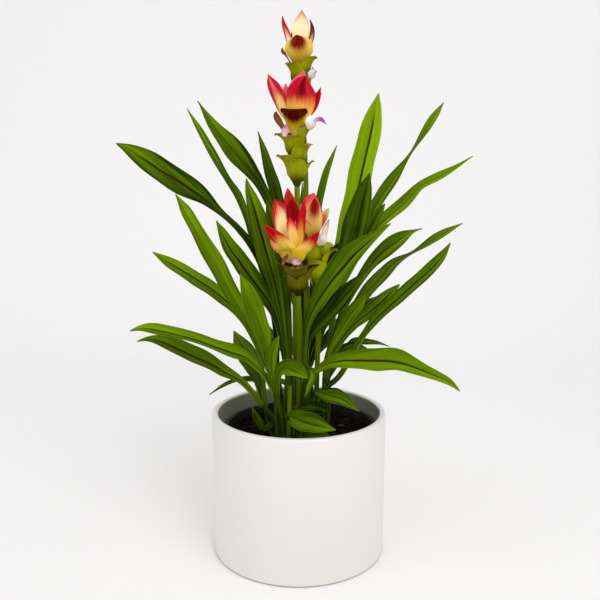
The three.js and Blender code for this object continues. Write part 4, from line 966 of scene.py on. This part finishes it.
def makeLeaf(name, start, fold, tone, path, chance):
    values = bladeValues
    route = Route([start] + [seen(*point[:3]) for point in path])
    turns = [point[3] for point in path[:1] + path]
    widths = [point[4] for point in path[:1] + path]
    upward = -1 if seen(*path[-1][:3]).x > start.x else 1
    phase = chance.uniform(*anyPhase)
    waves = values["waves"] * chance.uniform(*values["waveSpread"])
    fold = math.radians(fold)

    def rowAt(s, places):
        heading, centre = route.heading(s), route.at(s)
        place = route.share(s) * (len(turns) - 1)
        turn = upward * along(turns, place)
        face = turned(squared(heading, eye - centre), heading, turn)
        side = heading.cross(face)
        seenShare = math.cos(fold) * max(values["leastSeen"], math.cos(math.radians(turn)))
        half = max(values["tip"], eased(widths, place) / 2 / seenShare)
        wave = values["waveHeight"] * min(1, half / values["fullWave"]) * math.sin(math.pi * s)
        points = []
        for x in places:
            right = x > 0  # the two sides of a leaf wave apart
            waveTurn = 2 * math.pi * waves * s + phase + right * values["waveLag"]
            rippleTurn = values["rippleRate"] * math.pi * waves * s + 2 * phase
            rippleTurn += right * values["rippleLag"]
            lift = half * math.sin(fold) * (math.sqrt(x * x + values["foldRound"]) - 1)
            swell = wave * x * abs(x) * math.sin(waveTurn)
            ripple = abs(x) * math.sin(math.pi * s) * math.sin(rippleTurn)
            across = x * half * math.cos(fold) * (1 + values["ripple"] * ripple)
            points.append(centre + side * across + face * (lift + swell))
        return points

    def wallAt(s):
        width = eased(widths, route.share(s) * (len(widths) - 1))
        grown = clamp((width - values["petiole"]) / values["petiole"]) + (s > values["bladeFrom"])
        return lerp(values["petioleDepth"], values["thickness"], min(1, grown))

    rows = max(values["leastRows"], round(route.long / values["rowLength"]))
    leaf = makeSheet(name, values["columns"], rows, rowAt, wallAt)
    setLook(leaf, {"tone": leafTones[tone]})
    return leaf


def makeStalk(name, foot, end, angle):
    # a leaf's own stalk, from the soil beside the sheath to where the leaf leaves it
    values = stalkValues
    out = Vector((math.cos(angle), math.sin(angle), 0))
    low = Vector((foot[0], foot[1], soilValues["top"])) + out * values["apart"]
    middle = low.lerp(end, 0.5) + out * values["bow"]
    low.z -= values["sunk"]
    route = Route([low, middle, end])

    def radiusAt(s, angle):
        return lerp(values["low"], values["high"], s)

    return makeTube(name, route, radiusAt, values["sides"], values["rows"])


def makeShoot(node, shoot, chance):
    values = stemValues
    route = stemFrom(shoot["foot"], [seen(*shoot["neck"])])
    low, high = shoot["girth"]
    girths = [low, low, lerp(low, high, values["narrowing"]), high]

    def radiusAt(s, angle):
        # rolled sheaths: an open edge winds up the stem
        roll = ((angle / (2 * math.pi) + values["rollTurns"] * s) % 1) ** values["rollPower"]
        least, more = values["rollSize"]
        return along(girths, route.share(s) * 3) * (least + more * roll)

    name = node.replace("_", "-")
    sheath = makeTube(name + "-sheath", route, radiusAt, values["sides"], values["rows"])
    free = 1 - values["bare"] / route.long
    leaves = []
    stalks = []
    for i, (begin, fold, tone, *path) in enumerate(shoot["leaves"]):
        start = route.at(1 - free + free * begin)
        leaves.append(makeLeaf(f"{name}-{i}", start, fold, tone, path, chance))
        angle = i * stalkValues["turn"] + chance.random()
        stalks.append(makeStalk(f"{name}-stalk-{i}", shoot["foot"], start, angle))
    finishPiece(name + "-sheath", [sheath, *stalks], stemGreen, node)
    finishPiece(name, leaves, leafGreen, node)


# Flower spikes. behind is the depth of the head's axis. stem, cone and core points are
# [across, up, behind], and core is the top of the heart between the petals. A pouch is [azimuth,
# height, length, width, lean, lean of its tip]. A petal is [cup, facing, look, ...path]: cup is the
# radius of its curve across, facing 0 turns its inner side to the front and 90 to the right, and a
# path point is [across, up, depth past the axis, width].
spikeValues = {
    "core": 8.5, "scape": 3, "sides": 16, "rows": 40, "ribs": 5, "ribDepth": 0.03,
    "sunk": 4, "into": 8, "coneTaper": 3, "coneRise": 0.6, "coneSides": 20, "coneRows": 14,
    "heartSeat": 0.4, "heartRadii": [4.6, 4.8, 3], "heartRows": 8, "seed": 9,
}
pouchValues = {
    "cup": 13, "wall": 0.9, "footWall": 2.2, "columns": 12, "rows": 14, "sunk": 2,
    "footLean": 24, "topLean": 0.45, "spread": [0.45, 0.95, 1, 1], "least": 0.05,
    "roundFrom": 0.6, "roundness": (2.4, 0.7),
    "flareFrom": 0.45, "flare": 2.6, "flarePower": 3, "lipWave": 0.7, "lipWaves": 5,
}
petalValues = {
    "wall": 0.8, "flowerWall": 0.5, "bitWall": 0.4, "tip": 0.5, "fullest": 0.98,
    "columns": (8, 12), "wideFrom": 12, "rowLength": 3, "leastRows": 12,
    "wave": 0.5, "waveRate": 9, "waveSkew": 2, "fullWave": 8,
    "crease": 0.35, "creaseWidth": 0.16, "fullCrease": 6, "curl": 0.12,
}

# Colours of bracts and flowers, as they look on screen
cream, yellow = (253, 244, 205), (240, 200, 62)
olive, oliveLine = (206, 170, 66), (160, 132, 8)
crimson, deepCrimson, maroon = (186, 3, 30), (104, 0, 8), (60, 3, 0)
pink, peach, orange = (243, 105, 114), (241, 120, 100), (216, 99, 63)
tipYellow, green, rim = (222, 196, 118), (122, 132, 4), (160, 128, 70)
brown, blush = (96, 62, 30), (236, 214, 208)
violet, white, withered = (150, 70, 150), (244, 238, 240), (226, 210, 180)

# What bractMaterial reads of a sheet: [base, tip, start, margin, heart, strong, root, rise]
lookRows = {
    # in the pouch rows the dark root colour is painted shade, low on the cone where the pouches overlap
    "pouch": [(138, 142, 4), rim, 1.1, 0.2, brown, 0.9, (52, 62, 0), 0.5],
    "brownInside": [(58, 34, 8), rim, 1.16, 0.2, rim, 0.2, (30, 24, 2), 0.6],
    # painted shade: a darker green for the shadowed hollow of a pouch
    "shadedGreenInside": [(100, 96, 4), rim, 1.12, 0.2, rim, 0.2, (50, 56, 2), 0.6],
    "brightPouch": [(156, 162, 4), rim, 1.14, 0.2, brown, 0.3, (84, 92, 0), 0.4],
    "dome": [(226, 188, 84), (112, 4, 0), 0.54, -1.0, maroon, 0.4, (156, 128, 0), 0.9],
    "crimsonThird": [(244, 208, 90), crimson, 0.58, 0.16, deepCrimson, 0.6, (224, 178, 30), 0.5],
    "bowl": [(220, 182, 36), yellow, 1.2, 0.1, yellow, 0, (180, 150, 20), 0.4],
    "orangeFlame": [(232, 150, 96), (184, 36, 28), 0.56, 0.6, deepCrimson, 0.3, yellow, 0.4],
    "peachTip": [(240, 186, 110), crimson, 0.8, 0.2, peach, 0.2, yellow, 0.6],
    "crimsonSide": [(236, 176, 60), crimson, 0.5, 0.3, deepCrimson, 0.3, yellow, 0.3],
    "pinkRim": [olive, pink, 0.9, 0.5, pink, 0, green, 0.3],
    "oliveRim": [olive, oliveLine, 0.95, 0.3, olive, 0, green, 0.4],
    "violetLip": [(190, 160, 200), violet, 0.5, 0.1, violet, 0.3, white, 0.3],
    "flowerPink": [(220, 160, 176), (180, 104, 150), 0.7, 0.1, violet, 0.3, blush, 0.4],
    "darkPouch": [(94, 90, 2), (140, 110, 50), 1.13, 0.16, brown, 0.3, (34, 38, 0), 0.5],
    "honey": [olive, olive, 2, 0.2, olive, 0, olive, 0.3],
    "creamRedTip": [(252, 232, 184), (196, 40, 20), 0.94, 0.1, crimson, 0.4, (240, 214, 120), 0.5],
    "creamRed": [cream, crimson, 0.66, 0.3, deepCrimson, 0.4, yellow, 0.4],
    "creamDark": [cream, deepCrimson, 0.64, 0.35, maroon, 0.3, yellow, 0.5],
    "crimsonTip": [(236, 190, 70), crimson, 0.6, 0.35, deepCrimson, 0.6, olive, 0.3],
    "crimsonOverYellow": [(236, 186, 66), (184, 3, 42), 0.5, 0.02, deepCrimson, 1.0, (176, 150, 30), 0.35],
    "pinkOverYellow": [(244, 200, 120), (186, 6, 40), 0.62, 0.5, pink, 0.9, yellow, 0.4],
    "pink": [(246, 196, 160), (232, 104, 108), 0.66, 0.3, (210, 60, 80), 0.5, yellow, 0.4],
    "crimson": [(180, 20, 34), crimson, 0.4, 0.3, deepCrimson, 0.6, yellow, 0.35],
    "darkRed": [(176, 8, 14), (140, 2, 8), 0.5, 0.3, (96, 0, 2), 0.7, orange, 0.3],
    "maroonLip": [(180, 148, 16), (74, 1, 0), 0.44, -0.3, maroon, 0.6, olive, 0.4],
    "creamMargin": [(252, 226, 172), crimson, 0.8, 0.36, deepCrimson, 0.3, (236, 196, 90), 0.75],
    "peach": [(246, 186, 120), (226, 70, 80), 0.72, 0.3, peach, 0.3, yellow, 0.5],
    "redPatch": [(240, 196, 110), (156, 10, 14), 0.52, -0.34, deepCrimson, 0.6, (190, 140, 10), 0.4],
    "yellowTip": [orange, tipYellow, 0.8, 0.2, tipYellow, 0, olive, 0.3],
    "olive": [olive, orange, 0.9, 0.3, orange, 0, green, 0.4],
    "brownCurl": [(120, 74, 40), brown, 0.7, 0.3, maroon, 0.4, (150, 110, 50), 0.4],
    "greenCurl": [(150, 160, 20), rim, 1.0, 0.2, brown, 0.4, green, 0.4],
    "flower": [white, violet, 0.85, 0.1, violet, 0.5, blush, 0.4],
    "flowerPlain": [(228, 216, 200), white, 0.7, 0.2, white, 0, (214, 196, 160), 0.5],
    "withered": [withered, (170, 130, 80), 0.8, 0.3, brown, 0.2, blush, 0.4],
}


def bractLook(base, tip, start, margin, heart, strong, root, rise):
    pairs = {"base": (base, start), "tip": (tip, margin), "heart": (heart, strong), "root": (root, rise)}
    return {name: (*paint(*colour)[:3], number) for name, (colour, number) in pairs.items()}


looks = {name: bractLook(*row) for name, row in lookRows.items()}
insides = {"darkPouch": looks["brownInside"]}  # the other pouches have the darker green inside, painted shade in their hollows

spikes = {
    "top": {
        "foot": (8, 41), "behind": 46, "coneLook": "pouch",
        "stem": [[9, -40, 42], [8, 60, 43], [8, 130, 45], [6, 180, 46]],
        "cone": [[4, 212, 46], [2, 258, 46]], "core": [2, 278, 46],
        "pouches": [
            [215, 32, 25, 30, 12, 54], [-30, 36, 27, 26, 14, 52], [-38, 22, 26, 26, 12, 62],
            [-95, 12, 26, 28, 10, 30], [0, -2, 28, 26, 12, 70], [95, 26, 26, 28, 12, 60],
            [140, 6, 26, 28, 12, 62], [240, 2, 26, 28, 12, 50],
        ],
        "petals": [
            [17, 0, "creamRedTip", [3, 268, 4, 8], [2.5, 286, 9, 17], [2.5, 303, 12, 20.5],
             [2.8, 312, 12, 18], [3.2, 320, 11, 10.5], [3.3, 327.4, 10, 0]],
            [10, 55, "creamRed", [-1, 266, 1, 6], [-10, 286, 3, 11], [-15, 302, 3.5, 12],
             [-18, 313, 3.5, 7.5], [-18.7, 321, 3, 0]],
            [10, -60, "creamDark", [4, 266, 1, 6], [12, 284, 3, 11], [16, 298, 3.5, 11],
             [15.5, 308, 3.5, 7], [12.8, 317, 3, 0]],
            [17, 180, "dome", [-1, 262, -5, 9], [0, 270, -8.5, 20], [0.3, 278, -11, 30.5],
             [0, 286, -12, 35], [-1.5, 293, -12, 27], [-2.3, 297.5, -12, 15], [-2.6, 299.5, -12, 0]],
            [14, 15, "crimsonTip", [0, 268, 4, 8], [-4, 290, 13, 16], [-3, 302, 17, 10], [-2, 309, 19, 0]],
            [14, -15, "crimsonTip", [4, 268, 4, 8], [9, 288, 13, 15], [9, 298, 17, 9], [8, 304, 18, 0]],
        ],
    },
    "upper": {
        "foot": (-3, 6), "behind": 0, "coneLook": "pouch",
        "stem": [[-4, -40, 4], [-4, 40, 2], [-2, 105, 0]],
        "cone": [[-2, 132, 0], [-4, 184, 0]], "core": [-4, 206, 0],
        "pouches": [
            [-18, 36, 28, 28, 12, 60], [188, 30, 29, 28, 12, 66], [-108, 28, 25, 30, 10, 44],
            [-45, 16, 30, 30, 10, 66], [205, 6, 30, 30, 14, 62], [-90, 1, 27, 28, 16, 26],
            [10, 1, 26, 24, 16, 42], [85, 33, 27, 30, 12, 62], [90, 7, 27, 30, 14, 66],
        ],
        "petals": [
            [14, 150, "pinkOverYellow", [-7, 198, 0, 8], [-17, 214, 3, 14], [-23, 227, 4, 17],
             [-28, 238, 5, 16], [-32, 247, 5, 10], [-34.8, 254.8, 4, 0]],
            [19, 180, "crimsonOverYellow", [-2, 194, -3, 12], [0, 210, -9, 27], [2, 223, -12, 32],
             [2.8, 236, -13, 31], [4.5, 245, -13, 20], [7, 250.5, -12.5, 9], [8.4, 253, -12, 0]],
            [18, 0, "pink", [-3, 200, 4, 10], [-3, 222, 11, 24], [0, 238, 13, 23],
             [3, 249, 12.5, 15], [5.5, 259, 11, 0]],
            [14, 15, "pink", [-5, 202, 3, 8], [-12, 224, 9, 15], [-14.5, 236, 11, 10], [-15, 244.5, 11, 0]],
            [12, -150, "crimson", [-1, 198, 1, 8], [10, 211, 2, 12], [17, 221, 2, 13], [22, 231, 2, 8],
             [25, 240, 1, 0]],
            [19, 180, "maroonLip", [-5.5, 187, -4, 9], [-5.5, 195, -6, 14], [-5.5, 203, -9, 21],
             [-5.3, 210, -13, 28], [-5.2, 214, -13.5, 32], [-5.2, 215.5, -14, 29]],
            [16, 0, "crimsonTip", [0, 200, 4, 8], [5, 223, 14, 20], [6, 235, 17, 14], [6, 243, 18, 0]],
        ],
    },
    "front": {
        "foot": (-1, -14), "behind": -34, "coneLook": "darkPouch",
        "stem": [[1, -60, -14], [1, -34, -20], [0, -12, -29]],
        "cone": [[-1, 9, -34], [-2, 42, -34]], "core": [-2, 62, -34],
        "pouches": [
            [-95, 10, 25, 33, 20, 66], [170, 12, 27, 24, 22, 50], [8, 7, 28, 26, 24, 58],
            [90, 12, 26, 30, 14, 56], [60, 2, 24, 28, 14, 36],
            [-146, 0, 21, 23, 14, 14], [-38, 0, 23, 24, 16, 20],
        ],
        "petals": [
            [16, 150, "crimsonThird", [-4, 48, -5, 12], [-13, 59, -12, 16], [-22, 67.5, -17, 15.5],
             [-31, 76, -20, 11], [-36, 81, -21, 6], [-39.5, 84.5, -21, 0]],
            [16, -150, "crimsonThird", [-1, 47, -5, 12], [6, 56, -11, 16], [13, 64, -14, 14],
             [18.5, 71, -15, 9], [23.5, 77.5, -15, 0]],
            [15, 180, "bowl", [-3, 42, -6, 10], [-2, 47, -9, 17], [-1, 53, -11, 18], [0, 57.5, -12, 11],
             [0.5, 60.5, -12, 0]],
            [18, 25, "creamMargin", [-4, 54, 2, 8], [-11, 68, 7, 18], [-15.5, 80, 10, 25],
             [-18.5, 91, 12, 26], [-22, 101, 12, 19], [-25, 108.5, 11, 10], [-27, 113.5, 10, 0]],
            [14, 0, "orangeFlame", [-3, 56, 4, 8], [-5, 80, 14, 16], [-8, 98, 18, 17], [-10.5, 112, 19, 13],
             [-12, 121, 18.5, 7], [-12.5, 126.5, 18, 0]],
            [12, 0, "darkRed", [-3, 56, 1, 8], [-4, 80, 11, 13], [-6.5, 97, 14, 15], [-7.5, 106, 14.5, 12],
             [-8, 114, 14.5, 0]],
            [9, 20, "peachTip", [-4, 54, -3, 6], [-6, 68, -5, 10], [-8.5, 80, -6, 11.5],
             [-10, 88, -6, 9], [-10.5, 93.5, -6, 0]],
            [12, -25, "crimsonSide", [0, 54, 0, 6], [1.5, 66, 3, 9], [2.5, 78, 5, 11], [3.4, 90, 6, 10.5],
             [5.2, 101, 6, 7.5], [6.5, 115, 6, 0]],
            [15, 150, "pinkRim", [-5, 45, -2, 10], [-14, 53, -8, 15], [-23, 60, -12, 14], [-29, 66, -13, 9],
             [-32, 71, -13, 0]],
            [14, 165, "oliveRim", [-5, 42.5, -6.5, 9], [-13, 48.5, -12, 12], [-15.5, 53, -14, 15],
             [-15.7, 55, -14.5, 15]],
        ],
    },
    "rear": {
        "foot": (20, 9), "behind": 26, "coneLook": "brightPouch",
        "stem": [[22, -40, 16], [24, -4, 24]],
        "cone": [[23, 16, 26], [19, 66, 26]], "core": [17, 88, 26],
        "pouches": [
            [-8, 18, 30, 26, 16, 66], [-66, 26, 29, 30, 12, 36], [-100, 4, 30, 30, 10, 30],
            [180, 22, 26, 26, 12, 60], [95, 28, 26, 28, 12, 56], [60, 2, 26, 28, 12, 50],
            [160, -2, 26, 26, 12, 30],
        ],
        "petals": [
            [15, 10, "peach", [17, 76, 4, 8], [14.5, 92, 11, 20], [13.5, 104, 13, 23],
             [14, 112, 13, 18], [16, 118, 13, 9], [17.5, 121, 12, 0]],
            [13, 175, "redPatch", [17, 70, -5, 10], [17, 81, -9, 17], [17, 92, -11, 19],
             [17.5, 103, -12, 14], [18, 110, -12, 8], [18, 115, -12, 0]],
            [12, -145, "yellowTip", [19, 74, -1, 8], [24, 85, -3, 13], [28, 93, -4, 13], [32, 100, -4, 7],
             [34.5, 103.5, -4, 0]],
            [12, 170, "olive", [17, 70, -4, 8], [13, 77, -8, 12], [10, 84, -9, 9], [8, 91, -9, 0]],
            [14, 0, "peach", [18, 76, 3, 8], [19, 91, 14, 18], [20, 102, 18, 13], [19, 110, 20, 0]],
            [12, 30, "pink", [16, 76, 2, 6], [8, 93, 5, 13], [4, 102, 6, 8], [2, 109, 5, 0]],
        ],
    },
}
# True flowers, small and pale, each cupped in a pouch: petals as above, but with their depth behind
# the pot's axis
flowers = {
    "flower_top": [
        [6, 180, "flower", [13, 250, 32.2, 5], [14, 254, 29.6, 9], [15, 258, 28.1, 8], [16, 263, 27.6, 0]],
        [5, 170, "flower", [14, 250.2, 32.2, 4], [16, 254, 28.6, 7], [19, 257, 24.6, 0]],
    ],
    "flower_upper_right": [
        [7, 180, "flowerPlain", [12, 192, -13.5, 6], [13, 199, -16.9, 12], [13, 205, -16.9, 9],
         [13, 209, -16.9, 0]],
        [7, -150, "flowerPlain", [13, 192, -13.9, 6], [16, 198, -16.9, 10], [19.5, 205, -17.9, 0]],
        [5, 180, "violetLip", [15, 198, -16.9, 3], [19, 203, -19.9, 4], [25, 204, -21.9, 5],
         [31, 198, -22.9, 0]],
    ],
    "flower_upper_left": [
        [5, 160, "flowerPink", [-17, 184.2, -14.6, 5], [-16.5, 190, -17.3, 9], [-15, 195, -17.5, 7],
         [-14, 199, -17.5, 0]],
    ],
    "flower_front": [
        [6, 180, "flowerPink", [-2.8, 39.8, -53.2, 4.6], [-4.6, 43, -55.4, 7.5], [-8.6, 47, -56.4, 0]],
        [6, 170, "flowerPink", [-2.6, 39.8, -53.2, 4.6], [-1.4, 43, -55.8, 7.5], [0.4, 46.5, -56.8, 0]],
    ],
    "flower_rear": [
        [8, 180, "flowerPlain", [25, 61.2, 7.4, 6], [24, 67, 5.4, 12], [22.5, 72, 5.4, 8],
         [22, 76, 5.4, 0]],
        [8, -170, "flowerPlain", [26, 61.2, 7.4, 5], [28, 67, 4.4, 9], [28, 75, 4.4, 0]],
        [5, -160, "withered", [27, 62.2, 7.4, 4], [28.5, 70, 6.6, 8], [31, 82, 6.6, 7], [34.5, 92, 8.6, 0]],
    ],
}


def cupRow(centre, side, inward, half, cup, places, liftAt):
    # a row of points round a cup's curve, each with its own lift
    points = []
    for x in places:
        angle = x * half / cup
        spot = centre + side * (cup * math.sin(angle)) + inward * (cup - cup * math.cos(angle))
        points.append(spot + liftAt(x))
    return points


def makePetal(name, row, behind, wall, chance):
    values = petalValues
    cup, facing, look, *path = row
    route = Route([seen(x, up, behind + past) for x, up, past, width in path])
    widths = [point[3] for point in path]
    facing = math.radians(facing)
    toward = Vector((math.sin(facing), -math.cos(facing), 0))
    phase = chance.uniform(*anyPhase)

    def rowAt(s, places):
        heading = route.heading(s)
        inward = squared(heading, toward)
        side = inward.cross(heading)
        width = max(values["tip"], eased(widths, route.share(s) * (len(widths) - 1)))
        half = cup * math.asin(min(values["fullest"], width / 2 / cup))

        def liftAt(x):
            waveTurn = values["waveRate"] * s + phase + values["waveSkew"] * x
            wave = values["wave"] * math.sin(waveTurn) * x * x * min(1, half / values["fullWave"])
            crease = values["crease"] * math.exp(-(x / values["creaseWidth"]) ** 2)
            crease *= min(1, half / values["fullCrease"])
            return inward * (crease - values["curl"] * half * s * x ** 4 + wave)

        return cupRow(route.at(s), side, inward, half, cup, places, liftAt)

    columns = values["columns"][max(widths) > values["wideFrom"]]
    rows = max(values["leastRows"], round(route.long / values["rowLength"]))
    petal = makeSheet(name, columns, rows, rowAt, lambda s: wall)
    setLook(petal, looks[look])
    return petal


def makePouch(name, row, base, axis, look, chance):
    # a green bract, pouched full against the cone, with a thin rim curled out
    azimuth, height, length, width, lean, tipLean = row
    values = pouchValues
    right = squared(axis, Vector((1, 0, 0)))
    back = axis.cross(right)
    out = right * math.cos(math.radians(azimuth)) + back * math.sin(math.radians(azimuth))
    side = (-out).cross(axis)
    leans = [lean + values["footLean"], lean, lerp(lean, tipLean, values["topLean"]), tipLean]
    centres = [base + axis * height + out * (spikeValues["core"] - values["sunk"])]
    for i in range(3):
        lean = math.radians(along(leans, min(i + 0.5, 3)))
        centres.append(centres[-1] + (axis * math.cos(lean) + out * math.sin(lean)) * length / 3)
    route = Route(centres)
    phase = chance.uniform(*anyPhase)

    def rowAt(s, places):
        lean = math.radians(along(leans, 3 * s))
        inward = axis * math.sin(lean) - out * math.cos(lean)
        top = clamp((s - values["roundFrom"]) / (1 - values["roundFrom"]))
        inner, outer = values["roundness"]
        spread = eased(values["spread"], 3 * s) * (1 - top ** inner) ** outer
        half = width / 2 * max(values["least"], spread)
        flare = clamp((s - values["flareFrom"]) / (1 - values["flareFrom"])) ** 2

        def liftAt(x):
            curl = values["flare"] * abs(x) ** values["flarePower"]
            return -inward * flare * (curl + values["lipWave"] * math.sin(values["lipWaves"] * x + phase))

        return cupRow(route.at(s), side, inward, half, values["cup"], places, liftAt)

    def wallAt(s):
        return lerp(values["footWall"], values["wall"], clamp(2 * s))

    pouch = makeSheet(name, values["columns"], values["rows"], rowAt, wallAt)
    setLook(pouch, looks[look], insides.get(look, looks["shadedGreenInside"]))
    return pouch


def makeScape(name, route):
    values = spikeValues

    def radiusAt(s, angle):
        return values["scape"] * (1 + values["ribDepth"] * math.sin(values["ribs"] * angle))

    scape = makeTube("scape", route, radiusAt, values["sides"], values["rows"])
    finishPiece("scape-" + name, [scape], scapeGreen, "scape_" + name)


def makeCone(name, spike, base, top, axis, into, chance):
    values = spikeValues
    route = Route([base - axis * values["sunk"], into, base.lerp(top, values["coneRise"]), top])
    radii = [values["scape"], values["core"], values["core"], values["core"] - values["coneTaper"]]

    def radiusAt(s, angle):
        return eased(radii, route.share(s) * 3)

    body = makeTube("cone", route, radiusAt, values["coneSides"], values["coneRows"])
    setLook(body, looks[spike["coneLook"]])
    pouches = [makePouch(f"pouch-{i}", row, base, axis, spike["coneLook"], chance)
               for i, row in enumerate(spike["pouches"])]
    finishPiece("cone-" + name, [body, *pouches], bractGreen, "scape_" + name)


def makeCrown(name, spike, top, chance):
    values = spikeValues
    heartTop = seen(*spike["core"])
    heartFoot = top + (heartTop - top).normalized() * values["heartSeat"]
    route = Route([heartFoot, heartFoot.lerp(heartTop, 0.5), heartTop])

    def radiusAt(s, angle):
        return eased(values["heartRadii"], 2 * s)

    heart = makeTube("heart", route, radiusAt, values["sides"], values["heartRows"])
    setLook(heart, looks["honey"])
    petals = [makePetal(f"petal-{i}", row, spike["behind"], petalValues["wall"], chance)
              for i, row in enumerate(spike["petals"])]
    finishPiece("crown-" + name, [heart, *petals], bractRed, "crown_" + name)


def makeSpike(name, spike, chance):
    base, top = (seen(*point) for point in spike["cone"])
    axis = (top - base).normalized()
    into = base + axis * spikeValues["into"]
    makeScape(name, stemFrom(spike["foot"], [seen(*point) for point in spike["stem"]] + [base, into]))
    makeCone(name, spike, base, top, axis, into, chance)
    makeCrown(name, spike, top, chance)


def makeFlower(node, rows, chance):
    name = node.replace("_", "-")
    wall = petalValues["flowerWall"]
    petals = [makePetal(f"{name}-{i}", row, 0, wall, chance) for i, row in enumerate(rows)]
    finishPiece(name, petals, flowerPale, node)


# Withered and stray bits of each spike, with their depth behind the pot's axis too
bits = {
    "top": [
        [4, 200, "brownCurl", [-8, 266, 37, 2.4], [-12, 272, 34, 1.6], [-15, 277, 32, 3],
         [-18.5, 281, 32, 4.5], [-18, 285, 33, 0]],
        [3, 180, "brownCurl", [9.5, 257, 27, 1], [11, 260, 25, 3.2], [12.5, 262, 25, 0]],
    ],
    "upper": [
        [5, 200, "brownCurl", [-15, 190, -8, 5], [-19, 197, -10, 6], [-23, 204, -11, 8], [-26, 210, -11, 6],
         [-25, 213, -11, 0]],
        [3, 190, "brownCurl", [-14, 188, -16, 1.6], [-17, 196, -17, 1.6], [-20, 202, -16, 1.2],
         [-21, 205, -15, 0]],
    ],
    "front": [
        [4, 180, "brownCurl", [-18, 40, -49, 3], [-16, 46, -52, 4.5], [-13, 50, -52, 3], [-12, 52, -51, 0]],
    ],
    "rear": [
        [5, 180, "greenCurl", [26, 52, 12, 6], [30, 58, 9, 9], [35, 62, 8, 8], [40, 60, 8, 0]],
        [2, 180, "crimsonThird", [22.6, 70, 3, 1], [23.4, 72.5, 2.5, 2.4], [24.4, 75, 3, 0]],
    ],
}


def makeBits(name, rows, chance):
    parts = [makePetal(f"bit-{i}", row, 0, petalValues["bitWall"], chance) for i, row in enumerate(rows)]
    finishPiece("bits-" + name, parts, bractRed)


# The short scape left where a spent spike was cut off
cutStub = {"foot": (-11, -43), "top": [-10, -97, -43], "girth": (2.6, 2.2), "sides": 16, "rows": 12}


def makeCutStub():
    route = stemFrom(cutStub["foot"], [seen(*cutStub["top"])])

    def radiusAt(s, angle):
        return lerp(*cutStub["girth"], s)

    stub = makeTube("stub", route, radiusAt, cutStub["sides"], cutStub["rows"])
    finishPiece("cut-stub", [stub], scapeGreen, "cut_stub", 40)


makeCoverPot()
makeGrowPot()
soilMix = soilMaterial()
makeSoil(soilMix)
stemFeet = [(*shoot["foot"], shoot["girth"][0]) for shoot in shoots.values()]
stemFeet += [(*spike["foot"], spikeValues["scape"]) for spike in spikes.values()]
makeCrumbs(soilMix, stemFeet)
print("pots and soil made")

leafChance = random.Random(bladeValues["seed"])
for node, shoot in shoots.items():
    makeShoot(node, shoot, leafChance)
print("shoots made:", len(shoots))

spikeChance = random.Random(spikeValues["seed"])
for name, spike in spikes.items():
    makeSpike(name, spike, spikeChance)
for node, rows in flowers.items():
    makeFlower(node, rows, spikeChance)
for name, rows in bits.items():
    makeBits(name, rows, spikeChance)
makeCutStub()
print("spikes and flowers made")

# Studio: a pale sweep under soft light
studioValues = {
    "paper": paint(246, 245, 245), "paperRoughness": 0.9, "paperSpecular": 0.1,
    "daylight": 0.8,
    "sweepFront": -3, "sweepLong": 7, "sweepBack": 1.4, "sweepRadius": 0.6, "sweepHalf": 4, "sweepRows": 60,
}
studioLights = {
    # where it is, how wide, how strong, its spread in degrees, and how high it aims on the pot's axis
    "key": [(0.9, -1.3, 1.5), 1.2, 12, 180, 0.3],
    "fill": [(-1.4, -0.9, 0.9), 1.4, 4, 180, 0.3],
    "bloom": [(0.15, -0.78, 0.85), 0.4, 0.3, 60, 0.5],
}


def makeSweep():
    values = studioValues
    sweep = newGrid("sweep", 1, values["sweepRows"])
    bend = values["sweepRadius"]
    flat = values["sweepBack"] - bend
    for vertex in sweep.data.vertices:
        s = (vertex.co.y + 1) / 2 * values["sweepLong"] + values["sweepFront"]
        angle = clamp((s - flat) / bend, 0, math.pi / 2)
        y = min(s, flat) + bend * math.sin(angle)
        z = bend * (1 - math.cos(angle)) + max(0, s - flat - bend * math.pi / 2)
        vertex.co = (vertex.co.x * values["sweepHalf"], y, z)
    bpy.ops.object.shade_smooth()
    f = Finish("paper")
    sweep.data.materials.append(f.done(values["paper"], values["paperRoughness"], values["paperSpecular"]))


def lightStudio():
    world = bpy.data.worlds.new("studio")
    world.use_nodes = True
    sky = world.node_tree.nodes["Background"].inputs
    sky["Color"].default_value = (1, 1, 1, 1)
    sky["Strength"].default_value = studioValues["daylight"]
    bpy.context.scene.world = world
    for name, (place, size, power, spread, aim) in studioLights.items():
        data = bpy.data.lights.new(name, "AREA")
        data.size = size
        data.energy = power
        data.spread = math.radians(spread)
        light = bpy.data.objects.new(name, data)
        bpy.context.scene.collection.objects.link(light)
        light.location = place
        toward = Vector((0, 0, aim)) - Vector(place)
        light.rotation_euler = toward.to_track_quat("-Z", "Y").to_euler()


makeSweep()
lightStudio()
settings = bpy.context.scene.view_settings
settings.view_transform = "Standard"
settings.look = "None"
print("studio made")
